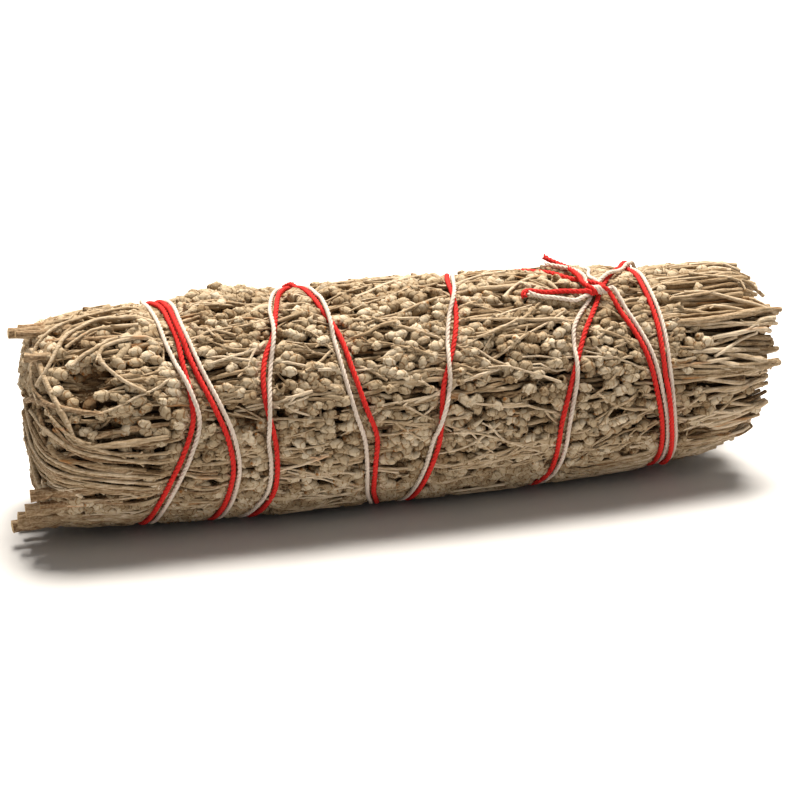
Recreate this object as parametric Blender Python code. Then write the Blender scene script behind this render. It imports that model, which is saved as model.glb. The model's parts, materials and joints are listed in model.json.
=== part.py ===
"""A bunch of dried sage, wound crosswise with a red and a white cotton string and tied in a knot.

The bunch lies on its side along X: the folded tops are at -X and the cut stems at +X. Z is up, the
surface it lies on is Z = 0, and -Y is the side that shows best. Angles round the bunch are 0 at the
top, 90 at the -Y side and 180 underneath. All the sizes below are in millimetres and degrees.
"""

import math
import random

import bmesh
import bpy
import numpy as np
from mathutils import Vector

MM = 0.001

# Driving dimensions of the bunch
BUNCH_RADIUS = 26.7
AXIS_HEIGHT = 25.2
THICKEST_X = -2.0
CUT_TAPER = 6.1
CUT_TAPER_LENGTH = 95.0
TOP_TAPER = 3.5
TOP_TAPER_LENGTH = 85.0
FOLD_START_X = -71.0
FOLD_LENGTH = 15.0
FLOOR_CLEARANCE = 0.3
CENTRING = (-0.99, 0.07, 0.0)

# Sprigs: an outer ring laid round a few inner ones
OUTER_SPRIGS = 12
INNER_SPRIGS = 5
SPRIG_GAP = 0.36
INNER_RADIUS = 13.0
STEMS_ACROSS = 3
STATION_XS = (-83.0, -79.5, -70.0, -50.0, -24.0, 2.0, 27.0, 51.0, 73.0)
INNER_XS = (-77.0, -40.0, 10.0, 45.0, 72.0)
INNER_CUT_X = (79.0, 91.0)
INNER_TIP_X = (-80.5, -79.0)
INNER_RINGS = ((3, 9.6), (1, 5.0))
SWAY_ANGLE = 2.6
SWAY_LENGTH = 128.0
RIDGE_TOP = 1.95
RIDGE_FOOT = 3.3

# Cut stem ends, side twigs and flower buds
CUT_STEM_RADIUS = 1.3
CUT_STEMS = ((0.17, 3.0), (0.5, 3.0), (0.83, 3.0), (0.5, 7.8))
CUT_END_X = (79.0, 93.0)
TWIG_RADIUS = 0.8
TWIG_DEPTH = 2.55
TWIG_START_X = (-66.0, 22.0)
TWIG_LENGTHS = (34.0, 46.0)
BUD_LENGTH = 6.2
BUD_RADIUS = 2.2
BUD_SINK = 2.0
BUD_SPACING = 5.2
BUDS_PER_SPRIG = 15
BUD_XS = (-75.0, 72.0)

# Thick cut stems that stick out past the folded tops: (angle, x of the end, radius)
WOODY_STUBS = ((364.0, -89.0, 1.6), (30.0, -86.0, 1.3), (113.0, -87.0, 1.5), (127.0, -88.5, 1.9),
               (144.0, -90.0, 2.1), (156.0, -91.0, 1.7), (178.0, -89.0, 1.8))
STUB_ROOT_X = -66.0
STUB_LEAN_X = -72.0

# Stems folded over the -X end: (x, distance from the axis)
FOLD_STEM_RADIUS = 1.5
FOLD_PATH = ((-72.0, 20.6), (-81.5, 20.0), (-84.5, 14.5), (-82.5, 9.5))

# Flattened stems that the bunch rests on, where they lie along it and how far off its middle
REST_XS = (-70.0, -24.0, 16.0, 47.0)
REST_ASIDE = 10.3
REST_LENGTH = 14.0
REST_RADIUS = 2.0

# Cotton string, laid as a red and a white strand side by side
STRING_RADIUS = 0.6
STRING_SINK = 0.85
STRING_GAP = 0.14
STRING_SIDES = 4
LIFT_SLOPE = 0.55
FINE_BEND = 0.18
COARSE_BEND = 0.45

# The string's winding: (x, angle, distance from the red strand across to the white one).
# Each row is one pass down the front, and the strings go round the back between two rows.
PASSES = (
    ((51.5, 27, 1.0), (52.7, 38, 1.4), (54.5, 50, 1.4), (56.5, 63, 1.4), (58.5, 84, 1.4),
     (60.5, 104, 1.4), (62.0, 122, 1.4), (63.5, 150, 1.4), (63.0, 250, 1.4)),
    ((61.0, -17, 1.4), (61.5, 0, 1.4), (60.8, 19, 1.4), (60.7, 48, 1.4), (60.8, 76, 1.4),
     (62.0, 98, 1.4), (64.2, 122, 1.4), (66.2, 150, 1.4), (66.0, 250, 1.4)),
    ((62.5, -16, 1.4), (57.5, -3, 1.4), (54.8, 4, 1.2), (51.6, 12, -0.4), (48.0, 21, -1.6),
     (46.0, 29, -1.8), (43.0, 38, -2.6), (40.3, 47, -2.8), (38.8, 57, -1.6), (37.5, 69, 0.2), (36.2, 82, 1.5),
     (35.0, 96, 2.0), (34.8, 112, 2.0), (34.6, 130, 1.6), (33.5, 152, 1.4),
     (31.0, 202, 1.4), (26.5, 250, 1.4)),
    ((17.0, -17, 1.4), (14.3, 4, 1.2), (12.8, 20, 0.0), (11.4, 30, -1.4), (8.7, 50, -1.4),
     (7.2, 62, 0.0), (6.4, 71, 1.4), (5.0, 85, 0.0), (4.0, 96, -1.4), (2.4, 116, -1.4),
     (1.2, 134, -1.5), (0.4, 156, -1.8), (-0.6, 202, -1.5), (-10.0, 258, -1.4)),
    ((-23.5, -17, -1.4), (-27.0, 0, -1.4), (-29.7, 20, -1.3), (-31.0, 35, 0.0), (-33.2, 48, 1.4),
     (-34.5, 62, 1.3), (-34.6, 76, 0.0), (-34.2, 88, -1.4), (-33.6, 104, -1.4), (-33.8, 120, -1.5),
     (-35.5, 136, -2.0), (-37.5, 156, -2.2), (-39.0, 202, -1.5), (-47.0, 264, -1.4)),
    ((-55.7, -17, -1.4), (-54.8, 2, -2.6), (-54.2, 18, -2.5), (-53.6, 32, -2.7), (-52.8, 46, -1.5),
     (-51.3, 62, 0.0), (-50.6, 76, 1.4), (-52.8, 92, 1.7), (-55.8, 109, 1.8), (-58.3, 127, 1.8),
     (-60.2, 154, 1.8), (-58.5, 250, 1.5)),
    ((-52.0, -17, 1.4), (-51.4, 4, 1.4), (-51.3, 19, 1.4), (-50.4, 34, 1.4), (-48.6, 52, 1.4),
     (-45.8, 69, 1.4), (-43.2, 86, 1.4), (-42.1, 103, 1.4), (-42.8, 120, 1.4), (-44.8, 154, 1.4),
     (-45.0, 202, 1.4), (-36.0, 262, 1.4)),
    ((-19.5, -17, 1.4), (-18.6, 6, 1.4), (-17.9, 24, 0.3), (-17.0, 38, -1.4), (-15.6, 60, -2.2),
     (-13.5, 80, -2.7), (-11.7, 92, -2.9), (-11.2, 108, -2.0), (-10.2, 130, -1.5),
     (-7.0, 155, -1.4), (-5.4, 202, -1.4), (12.0, 246, 1.6), (36.0, 308, 12.0)),
    ((45.5, -14, 13.0), (48.5, -3, 5.0), (50.8, 8, 1.2)),
)

# The knot: the two ends twist round each other along X, and their tails lie to -X
KNOT_X = 48.2
KNOT_ANGLE = 20.0
KNOT_HALF = 3.0
KNOT_TWIST_RADIUS = 0.98
KNOT_LIFT = 3.1
KNOT_SQUEEZE = 0.74
# Tail points: (x, angle, lift above the winding), red strand first
LOWER_TAIL = (((42.5, 20.5, 1.9), (38.0, 19.5, 1.7), (34.5, 19.0, 1.5), (31.0, 19.5, 1.4)),
              ((42.6, 24.5, 1.9), (38.5, 24.8, 1.5), (35.0, 23.8, 1.4), (31.6, 22.6, 1.4)))
UPPER_TAIL = (((44.2, 11.0, 2.6), (42.3, 1.0, 1.6), (39.0, -9.0, 1.5), (35.5, -13.5, 2.6)),
              ((45.4, 9.0, 2.8), (44.3, -1.5, 1.9), (40.6, -12.5, 1.6), (36.6, -17.5, 2.2)))

SAGE = (0.42, 0.35, 0.25, 1.0)
INNER_SAGE = (0.30, 0.24, 0.16, 1.0)
RED_COTTON = (0.62, 0.025, 0.018, 1.0)
WHITE_COTTON = (0.80, 0.72, 0.66, 1.0)


# The bunch's shape
def bunch_radius(x):
    """Radius of the bunch at x, thinner towards both ends and folded in at the -X end."""
    if x > THICKEST_X:
        radius = BUNCH_RADIUS - CUT_TAPER * ((x - THICKEST_X) / CUT_TAPER_LENGTH) ** 3
    else:
        radius = BUNCH_RADIUS - TOP_TAPER * ((THICKEST_X - x) / TOP_TAPER_LENGTH) ** 3
    fold = min(max((FOLD_START_X - x) / FOLD_LENGTH, 0.0), 0.98)
    return radius * (1 - fold**6) ** 0.4


def envelope(x, angle):
    """Distance from the axis to the tops of the buds, pressed flat just above the floor."""
    down = -math.cos(math.radians(angle))
    if down < 0.05:
        return bunch_radius(x)
    return min(bunch_radius(x), (AXIS_HEIGHT - FLOOR_CLEARANCE) / down)


def place(x, angle, radius):
    """Point at x, an angle round the bunch and a distance from its axis."""
    turn = math.radians(angle)
    return Vector((x, -math.sin(turn) * radius, AXIS_HEIGHT + math.cos(turn) * radius))


def sprig_border(index, x):
    """Angle of the border between the outer sprigs index - 1 and index."""
    sway = math.sin(2 * math.pi * x / SWAY_LENGTH + 1.7 * (index % OUTER_SPRIGS))
    return 360 / OUTER_SPRIGS * (index + 0.5) + SWAY_ANGLE * sway


# The string's route
def smooth_route(points, step):
    """Points of a smooth curve through the given ones, each about a step apart in arc length."""
    points = np.array(points, float)
    arc = math.radians(1) * BUNCH_RADIUS
    flat = np.column_stack((points[:, 0], points[:, 1] * arc))
    lengths = np.append(0, np.cumsum(np.linalg.norm(np.diff(flat, axis=0), axis=1)))
    slopes = np.gradient(points, lengths, axis=0)
    out = []
    for i in range(len(points) - 1):
        span = lengths[i + 1] - lengths[i]
        for t in np.arange(0, 1, step / span):
            out.append(points[i] * (1 + 2 * t) * (1 - t) ** 2
                       + slopes[i] * span * t * (1 - t) ** 2
                       + points[i + 1] * t * t * (3 - 2 * t)
                       - slopes[i + 1] * span * t * t * (1 - t))
    out.append(points[-1])
    return np.array(out)


def winding_points():
    """The whole winding as (x, running angle, red to white), from the knot and back to it."""
    route = []
    for turn, one_pass in enumerate(PASSES):
        route += [(x, angle + 360 * turn, across) for x, angle, across in one_pass]
    return smooth_route(route, 1.0)


def knot_strand(phase):
    """One strand's way through the knot, from its +X end to its -X end."""
    centre = envelope(KNOT_X, KNOT_ANGLE) - STRING_SINK + KNOT_LIFT
    out = []
    for u in np.linspace(1, -1, 11):
        turn = phase + math.pi * (1 - u)
        around = KNOT_TWIST_RADIUS * math.cos(turn)
        radius = centre + KNOT_TWIST_RADIUS * math.sin(turn)
        out.append((KNOT_X + KNOT_HALF * u, KNOT_ANGLE + math.degrees(around / radius), radius))
    return out


def string_floor(x, angle):
    """Distance of a strand's centre from the axis where it lies on the sprigs."""
    return envelope(x, angle) - STRING_SINK


def lay_strands():
    """Centre points and radii of the red and the white strand. A later turn rises over earlier ones."""
    winding = winding_points()
    arc = math.radians(1) * BUNCH_RADIUS
    heading = np.gradient(winding[:, :2] * (1, arc), axis=0)
    heading /= np.linalg.norm(heading, axis=1)[:, None]
    wound = {}
    for colour, side in (("red", -0.5), ("white", 0.5)):
        x = winding[:, 0] + side * winding[:, 2] * heading[:, 1]
        angle = winding[:, 1] - side * winding[:, 2] * heading[:, 0] / arc
        wound[colour] = [[*point, string_floor(*point)] for point in zip(x, angle)]
    ramp = KNOT_LIFT * 0.9
    for strand in wound.values():
        for i in range(6):
            share = 1 - i / 6
            strand[i][2] += ramp * share
            strand[-1 - i][2] += ramp * share
    clear = 2 * STRING_RADIUS + STRING_GAP
    count = len(winding)
    done = np.empty((2 * count, 3))
    for i in range(count):
        for colour in ("red", "white"):
            x, angle, radius = wound[colour][i]
            older = done[: max(0, 2 * (i - 12))]
            if colour == "white":
                older = np.vstack((older, done[max(0, 2 * (i - 4)) : 2 * i + 1 : 2]))
            near = older[np.abs(older[:, 0] - x) < clear] if len(older) else older
            for other_x, other_angle, other_radius in near:
                turn = (other_angle - angle + 180) % 360 - 180
                across = math.hypot(x - other_x, math.radians(turn) * other_radius)
                if across < clear:
                    radius = max(radius, other_radius + math.sqrt(clear**2 - across**2))
            wound[colour][i][2] = radius
            done[2 * i + (colour == "white")] = (x, angle, radius)
    for strand in wound.values():
        for order in (range(1, count), range(count - 2, -1, -1)):
            before = -1 if order[0] == 1 else 1
            for i in order:
                rise = strand[i + before][2] - string_floor(*strand[i + before][:2]) - LIFT_SLOPE
                strand[i][2] = max(strand[i][2], string_floor(*strand[i][:2]) + rise)
    return wound


def tail_points(tail):
    """A tail's points from the knot outwards, as (x, angle, distance from the axis)."""
    return [(x, angle, string_floor(x, angle) + lift) for x, angle, lift in tail]


def needed_points(strands, tolerances):
    """Numbers of the points that the strands, bent at the same points, need to keep their shapes."""
    keep = {0, len(tolerances) - 1}
    spans = [(0, len(tolerances) - 1)]
    while spans:
        first, last = spans.pop()
        worst, middle = 1.0, None
        for path in strands:
            along = (path[last] - path[first]).normalized()
            for i in range(first + 1, last):
                off = path[i] - path[first]
                excess = (off - along * off.dot(along)).length / tolerances[i]
                if excess > worst:
                    worst, middle = excess, i
        if middle is not None:
            keep.add(middle)
            spans += [(first, middle), (middle, last)]
    return sorted(keep)


def string_paths(wound):
    """Both strands as points and radii: lower tail, knot, winding, knot, upper tail."""
    count = len(wound["red"])
    lifted = [max(wound[c][i][2] - string_floor(*wound[c][i][:2]) for c in wound) for i in range(count)]
    tolerances = [FINE_BEND if lift > 0.1 else COARSE_BEND for lift in lifted]
    keep = needed_points([[place(*point) for point in strand] for strand in wound.values()], tolerances)
    paths = {}
    for number, (colour, strand) in enumerate(wound.items()):
        first_knot = knot_strand(math.radians((-45, 45)[number]))
        last_knot = knot_strand(math.radians((225, 135)[number]))
        start = [*reversed(tail_points(LOWER_TAIL[number])), *reversed(first_knot)]
        end = [*last_knot, *tail_points(UPPER_TAIL[number])]
        points = [place(*point) for point in [*start, *(strand[i] for i in keep), *end]]
        squeezed = [place(*point) for point in [*first_knot, *last_knot]]
        radii = []
        for point in points:
            close = min((point - other).length for other in squeezed)
            share = min(close / 2.5, 1.0)
            radii.append(STRING_RADIUS * (KNOT_SQUEEZE + (1 - KNOT_SQUEEZE) * share))
        paths[colour] = points, radii
    return paths


# Mesh helpers
def new_object(name, bm, collection):
    """An object from a bmesh in millimetres, with its faces pointing out, centred on the origin."""
    bmesh.ops.recalc_face_normals(bm, faces=bm.faces)
    bmesh.ops.translate(bm, verts=bm.verts, vec=CENTRING)
    bmesh.ops.scale(bm, vec=(MM, MM, MM), verts=bm.verts)
    mesh = bpy.data.meshes.new(name)
    bm.to_mesh(mesh)
    bm.free()
    obj = bpy.data.objects.new(name, mesh)
    collection.objects.link(obj)
    return obj


def add_tube(bm, path, radii, sides, turn=0.0):
    """A closed tube along a path, with its rings kept from twisting."""
    count = len(path)
    tangents = [(path[min(i + 1, count - 1)] - path[max(i - 1, 0)]).normalized() for i in range(count)]
    side = tangents[0].orthogonal().normalized()
    rings = []
    for point, tangent, radius in zip(path, tangents, radii):
        side = (side - tangent * side.dot(tangent)).normalized()
        other = tangent.cross(side)
        ring = []
        for k in range(sides):
            angle = turn + 2 * math.pi * k / sides
            ring.append(bm.verts.new(point + radius * (math.cos(angle) * side + math.sin(angle) * other)))
        rings.append(ring)
    for low, high in zip(rings, rings[1:]):
        for k in range(sides):
            bm.faces.new((low[k], low[(k + 1) % sides], high[(k + 1) % sides], high[k]))
    bm.faces.new(rings[0][::-1])
    bm.faces.new(rings[-1])


def add_bud(bm, base, tip, radius):
    """An egg-shaped flower bud of eight faces, widest near its base."""
    along = (tip - base).normalized()
    side = along.orthogonal().normalized()
    other = along.cross(side)
    middle = base.lerp(tip, 0.42)
    ring = []
    for k in range(4):
        angle = math.pi / 2 * k
        ring.append(bm.verts.new(middle + radius * (math.cos(angle) * side + math.sin(angle) * other)))
    ends = bm.verts.new(base), bm.verts.new(tip)
    for k in range(4):
        bm.faces.new((ring[k], ring[(k + 1) % 4], ends[1]))
        bm.faces.new((ring[(k + 1) % 4], ring[k], ends[0]))


# The sprigs
def outer_core(index, collection, rng):
    """An outer sprig's packed stems, as ridges side by side along its length."""
    bm = bmesh.new()
    rings = []
    heights = [rng.uniform(-0.35, 0.0) for _ in range(STEMS_ACROSS)]
    for x in STATION_XS:
        low = sprig_border(index, x)
        high = sprig_border(index + 1, x)
        ring = []
        for k in range(2 * STEMS_ACROSS + 1):
            share = k / (2 * STEMS_ACROSS)
            angle = low + (high - low) * share
            if k % 2:
                depth = RIDGE_TOP - heights[k // 2] + rng.uniform(0.0, 0.25)
                angle += rng.uniform(-0.6, 0.6)
            else:
                depth = RIDGE_FOOT
            radius = envelope(x, angle) - depth
            if k in (0, 2 * STEMS_ACROSS):
                angle += math.degrees(SPRIG_GAP / 2 / radius) * (1 if k == 0 else -1)
            ring.append(bm.verts.new(place(x, angle, radius)))
        inset = math.degrees(SPRIG_GAP / 2 / INNER_RADIUS)
        ring.append(bm.verts.new(place(x, high - inset, INNER_RADIUS)))
        ring.append(bm.verts.new(place(x, low + inset, INNER_RADIUS)))
        rings.append(ring)
    size = len(rings[0])
    for a, b in zip(rings, rings[1:]):
        for k in range(size):
            n = (k + 1) % size
            bm.faces.new((a[k], a[n], b[n]))
            bm.faces.new((a[k], b[n], b[k]))
    bm.faces.new(rings[0][::-1])
    bm.faces.new(rings[-1])
    return new_object(f"sprig_{index + 1:02d}", bm, collection)


def inside_sprig(index, x, share, margin):
    """Angle at a share of the way across an outer sprig, a margin in millimetres off its borders."""
    edge = math.degrees(margin / bunch_radius(x))
    low = sprig_border(index, x) + edge
    high = sprig_border(index + 1, x) - edge
    return low + (high - low) * share


def cut_stems(index, helpers, rng):
    """Cut stem ends that stand out of an outer sprig at +X, each of its own length."""
    for share, depth in CUT_STEMS:
        end = rng.uniform(*CUT_END_X)
        middle = inside_sprig(index, STATION_XS[-1], share + rng.uniform(-0.04, 0.04), CUT_STEM_RADIUS)
        lean = rng.uniform(-1.0, 1.0)
        radius = CUT_STEM_RADIUS * rng.uniform(0.8, 1.1)
        root = STATION_XS[-1] - 5
        path = [place(root, middle, envelope(root, middle) - depth - 0.4),
                place(end, middle + lean, envelope(end, middle) - depth)]
        bm = bmesh.new()
        add_tube(bm, path, [radius, radius * 0.92], 4, rng.uniform(0, 1))
        new_object("cut_stem", bm, helpers)


def near_string(x, angle, wound, reach):
    """Whether a point of the surface lies within reach of a wound strand."""
    for strand in wound.values():
        for other_x, other_angle, radius in strand:
            turn = (other_angle - angle + 180) % 360 - 180
            if math.hypot(x - other_x, math.radians(turn) * radius) < reach:
                return True
    return False


def side_twig(index, helpers, rng):
    """A thin twig that crosses an outer sprig's stems at a slant, with both ends sunk in."""
    start = rng.uniform(*TWIG_START_X)
    length = rng.uniform(*TWIG_LENGTHS)
    shares = sorted((rng.uniform(0.0, 0.4), rng.uniform(0.6, 1.0)), reverse=rng.random() < 0.5)
    path = []
    for t, sink in ((0.0, 1.2), (0.25, 0.0), (0.75, 0.0), (1.0, 1.2)):
        x = start + length * t
        angle = inside_sprig(index, x, shares[0] + (shares[1] - shares[0]) * t, 2 * TWIG_RADIUS)
        path.append(place(x, angle, envelope(x, angle) - TWIG_DEPTH - sink))
    bm = bmesh.new()
    add_tube(bm, path, [TWIG_RADIUS] * len(path), 4, math.pi / 4)
    new_object("side_twig", bm, helpers)


def flower_buds(index, helpers, rng, wound):
    """Egg-shaped buds that stand out of an outer sprig, spread evenly and clear of the string."""
    placed = []
    for _ in range(3000):
        if len(placed) == BUDS_PER_SPRIG:
            break
        x = rng.uniform(*BUD_XS)
        angle = inside_sprig(index, x, rng.random(), BUD_RADIUS + 0.55)
        here = place(x, angle, envelope(x, angle))
        if any((here - other).length < BUD_SPACING for other in placed):
            continue
        if near_string(x, angle, wound, BUD_LENGTH / 2 + STRING_RADIUS + 0.25):
            continue
        placed.append(here)
        lean = rng.uniform(-0.35, 0.35)
        half = BUD_LENGTH / 2 * rng.uniform(0.85, 1.0)
        swing = math.degrees(lean * half / bunch_radius(x)) * 0.5
        bottom = envelope(x, angle) - BUD_SINK - 0.5
        top = envelope(x, angle) - BUD_SINK + 0.3
        size = BUD_RADIUS * rng.uniform(0.85, 1.0)
        bm = bmesh.new()
        add_bud(bm, place(x + half, angle - swing, bottom), place(x - half, angle + swing, top), size)
        new_object("bud", bm, helpers)


def folded_stem(index, helpers, rng):
    """A stem that bends over the -X end of an outer sprig and points back to the middle."""
    share = rng.uniform(0.4, 0.6)
    path = [place(x, inside_sprig(index, x, share, 0.0), radius) for x, radius in FOLD_PATH]
    size = FOLD_STEM_RADIUS * rng.uniform(0.85, 1.05)
    bm = bmesh.new()
    add_tube(bm, path, [size] * (len(path) - 1) + [size * 0.8], 4, rng.uniform(0, 1))
    new_object("folded_stem", bm, helpers)


def woody_stubs(index, helpers):
    """Thick cut stems that stick out past the folded tops at -X."""
    for angle, end, radius in WOODY_STUBS:
        if not sprig_border(index, STUB_LEAN_X) < angle < sprig_border(index + 1, STUB_LEAN_X):
            continue
        path = [place(STUB_ROOT_X, angle, envelope(STUB_ROOT_X, angle) - radius - 2.0),
                place(end, angle, envelope(STUB_LEAN_X, angle) - radius - 1.2)]
        bm = bmesh.new()
        add_tube(bm, path, [radius, radius], 6, 0.4)
        new_object("woody_stub", bm, helpers)


def resting_stems(index, helpers):
    """Stems pressed flat underneath, which carry the bunch on the floor."""
    side = {4: -1, 6: 1}.get(index)
    if side is None:
        return
    middle = REST_RADIUS * math.cos(math.pi / 6)
    for x in REST_XS:
        bm = bmesh.new()
        ring = []
        for k in range(6):
            turn = math.pi / 3 * (k + 0.5)
            sideways = side * REST_ASIDE + REST_RADIUS * math.sin(turn)
            ring.append(bm.verts.new((x - REST_LENGTH / 2, sideways, middle - REST_RADIUS * math.cos(turn))))
        end = bmesh.ops.extrude_face_region(bm, geom=[bm.faces.new(ring)])["geom"]
        moved = [part for part in end if isinstance(part, bmesh.types.BMVert)]
        bmesh.ops.translate(bm, verts=moved, vec=(REST_LENGTH, 0, 0))
        new_object("resting_stem", bm, helpers)


def keep_outer_skin(mesh):
    """Fills sealed hollows and drops loose scraps: only the largest linked shell stays."""
    bm = bmesh.new()
    bm.from_mesh(mesh)
    unseen = set(bm.verts)
    shells = []
    while unseen:
        open_ends = [unseen.pop()]
        shell = set(open_ends)
        while open_ends:
            for edge in open_ends.pop().link_edges:
                for vert in edge.verts:
                    if vert in unseen:
                        unseen.remove(vert)
                        shell.add(vert)
                        open_ends.append(vert)
        shells.append(shell)
    largest = max(shells, key=len)
    bmesh.ops.delete(bm, geom=[vert for vert in bm.verts if vert not in largest], context="VERTS")
    bm.to_mesh(mesh)
    bm.free()


def joined(core, helpers):
    """The core with all its helper solids united into it, in one Boolean."""
    union = core.modifiers.new("join", "BOOLEAN")
    union.operation = "UNION"
    union.operand_type = "COLLECTION"
    union.collection = helpers
    union.solver = "EXACT"
    bpy.context.view_layer.update()
    graph = bpy.context.evaluated_depsgraph_get()
    mesh = bpy.data.meshes.new_from_object(core.evaluated_get(graph))
    core.modifiers.remove(union)
    keep_outer_skin(mesh)
    core.data = mesh
    for helper in list(helpers.objects):
        bpy.data.objects.remove(helper)
    return core


def outer_sprig(index, collection, helpers, wound):
    """One sprig of the outer ring, with its stems, twigs, buds and cut ends in one piece."""
    rng = random.Random(100 + index)
    core = outer_core(index, collection, rng)
    cut_stems(index, helpers, rng)
    side_twig(index, helpers, rng)
    flower_buds(index, helpers, rng, wound)
    folded_stem(index, helpers, rng)
    woody_stubs(index, helpers)
    resting_stems(index, helpers)
    return joined(core, helpers)


def inner_sprig(index, collection, helpers):
    """One sprig of the middle, mostly hidden, with cut ends at +X and tips at -X."""
    rng = random.Random(200 + index)
    width = 360 / INNER_SPRIGS
    bm = bmesh.new()
    rings = []
    for x in INNER_XS:
        ring = []
        for share in (0.0, 0.33, 0.67, 1.0):
            radius = INNER_RADIUS * math.cos(math.pi / OUTER_SPRIGS) - SPRIG_GAP
            angle = width * (index + share)
            if share in (0.0, 1.0):
                angle += math.degrees(SPRIG_GAP / 2 / radius) * (1 if share == 0 else -1)
            ring.append(bm.verts.new(place(x, angle, radius)))
        ring.append(bm.verts.new(place(x, width * (index + 0.5), SPRIG_GAP / 2 / math.sin(math.pi / 5))))
        rings.append(ring)
    for a, b in zip(rings, rings[1:]):
        for k in range(5):
            bm.faces.new((a[k], a[(k + 1) % 5], b[(k + 1) % 5], b[k]))
    bm.faces.new(rings[0][::-1])
    bm.faces.new(rings[-1])
    bmesh.ops.triangulate(bm, faces=bm.faces)
    core = new_object(f"inner_sprig_{index + 1}", bm, collection)
    for count, radius in INNER_RINGS:
        for k in range(count):
            angle = width * (index + (k + 0.5) / count) + rng.uniform(-2, 2)
            size = CUT_STEM_RADIUS * rng.uniform(0.85, 1.15)
            end = rng.uniform(*INNER_CUT_X)
            tip = rng.uniform(*INNER_TIP_X)
            for near, far, small in ((INNER_XS[-1] - 6, end, 0.95), (INNER_XS[0] + 6, tip, 0.7)):
                bm = bmesh.new()
                path = [place(near, angle, radius), place(far, angle + rng.uniform(-2, 2), radius)]
                add_tube(bm, path, [size, size * small], 5, rng.uniform(0, 1))
                new_object("stem_end", bm, helpers)
    return joined(core, helpers)


def string_object(colour, path, radii, collection):
    """One cotton strand, from its lower tail round the bunch to its upper tail."""
    bm = bmesh.new()
    add_tube(bm, path, radii, STRING_SIDES)
    return new_object(f"{colour}_string", bm, collection)


def material(name, colour, roughness):
    """A plain finish of one colour."""
    made = bpy.data.materials.new(name)
    made.use_nodes = True
    shader = made.node_tree.nodes["Principled BSDF"]
    shader.inputs["Base Color"].default_value = colour
    shader.inputs["Roughness"].default_value = roughness
    shader.inputs["Metallic"].default_value = 0.0
    return made


def main():
    for obj in list(bpy.data.objects):
        bpy.data.objects.remove(obj)
    collection = bpy.context.scene.collection
    helpers = bpy.data.collections.new("helpers")
    helpers.hide_render = True
    collection.children.link(helpers)
    bunch = bpy.data.objects.new("sage_bunch", None)
    collection.objects.link(bunch)
    wound = lay_strands()
    sage = material("dried_sage", SAGE, 0.9)
    inner_sage = material("inner_sage", INNER_SAGE, 0.9)
    made = [(outer_sprig(i, collection, helpers, wound), sage) for i in range(OUTER_SPRIGS)]
    made += [(inner_sprig(i, collection, helpers), inner_sage) for i in range(INNER_SPRIGS)]
    cottons = {"red": material("red_cotton", RED_COTTON, 0.85),
               "white": material("white_cotton", WHITE_COTTON, 0.85)}
    for colour, (path, radii) in string_paths(wound).items():
        made.append((string_object(colour, path, radii, collection), cottons[colour]))
    for obj, finish in made:
        obj.data.materials.clear()
        obj.data.materials.append(finish)
        obj.parent = bunch
    bpy.data.collections.remove(helpers)


main()
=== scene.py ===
import json
import math

import bmesh
import bpy
import numpy as np
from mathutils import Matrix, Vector

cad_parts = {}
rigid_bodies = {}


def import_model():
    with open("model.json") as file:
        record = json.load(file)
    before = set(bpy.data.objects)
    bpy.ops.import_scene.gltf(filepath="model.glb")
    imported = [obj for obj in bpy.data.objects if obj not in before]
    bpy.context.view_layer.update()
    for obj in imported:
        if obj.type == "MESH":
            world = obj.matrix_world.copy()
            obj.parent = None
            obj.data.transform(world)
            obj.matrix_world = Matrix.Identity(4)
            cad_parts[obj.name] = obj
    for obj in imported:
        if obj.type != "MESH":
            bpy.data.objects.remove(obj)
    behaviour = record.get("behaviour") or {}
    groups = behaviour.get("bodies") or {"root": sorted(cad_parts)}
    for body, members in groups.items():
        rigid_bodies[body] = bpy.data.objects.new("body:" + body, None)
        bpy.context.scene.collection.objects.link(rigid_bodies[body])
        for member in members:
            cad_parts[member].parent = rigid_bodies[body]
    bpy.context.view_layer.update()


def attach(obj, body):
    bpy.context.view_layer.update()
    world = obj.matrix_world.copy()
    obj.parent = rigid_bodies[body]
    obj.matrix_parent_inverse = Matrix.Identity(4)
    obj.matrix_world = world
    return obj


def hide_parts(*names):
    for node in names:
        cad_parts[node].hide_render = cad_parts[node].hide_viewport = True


# A bunch of dried sage wound with a red and a white cotton string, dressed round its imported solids.
# Lengths below are in millimetres and angles in degrees, until the meshes are made.
# A place on the bunch is (run, angle, depth): run goes along +X and on over the folded end below
# foldStart, angle turns from the top over the -Y side, and depth goes in from the bud tops.

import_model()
mm = 0.001

bunch = {
    "radius": 26.7, "axisHeight": 25.2, "thickestX": -2.0, "floorGap": 0.3,
    "cutTaper": 6.1, "cutTaperLength": 95.0, "topTaper": 3.5, "topTaperLength": 85.0,
    "foldStart": -71.0, "foldLength": 15.0, "foldPower": 6, "foldRound": 0.4, "foldSteps": 240,
    "centring": (-0.99, 0.07, 0.0), "leastReach": 5.0,
    "sprigs": 12, "innerSprigs": 5,
    "swayAngle": 2.6, "swayLength": 128.0, "swayShift": 1.7, "swayEnds": (-91, 95),
    "flare": 2.2, "flareStart": 66.0, "flareLength": 22.0, "flareAngle": -10.0,
}
degreeArc = math.radians(1) * bunch["radius"]  # a degree round the bunch, as a length


# The bunch's form

def bunchRadius(x):
    x = np.asarray(x, float)
    cut = np.clip((x - bunch["thickestX"]) / bunch["cutTaperLength"], 0, None) ** 3
    top = np.clip((bunch["thickestX"] - x) / bunch["topTaperLength"], 0, None) ** 3
    radius = bunch["radius"] - cut * bunch["cutTaper"] - top * bunch["topTaper"]
    fold = np.clip((bunch["foldStart"] - x) / bunch["foldLength"], 0, 0.98)
    return radius * (1 - fold ** bunch["foldPower"]) ** bunch["foldRound"]


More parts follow.
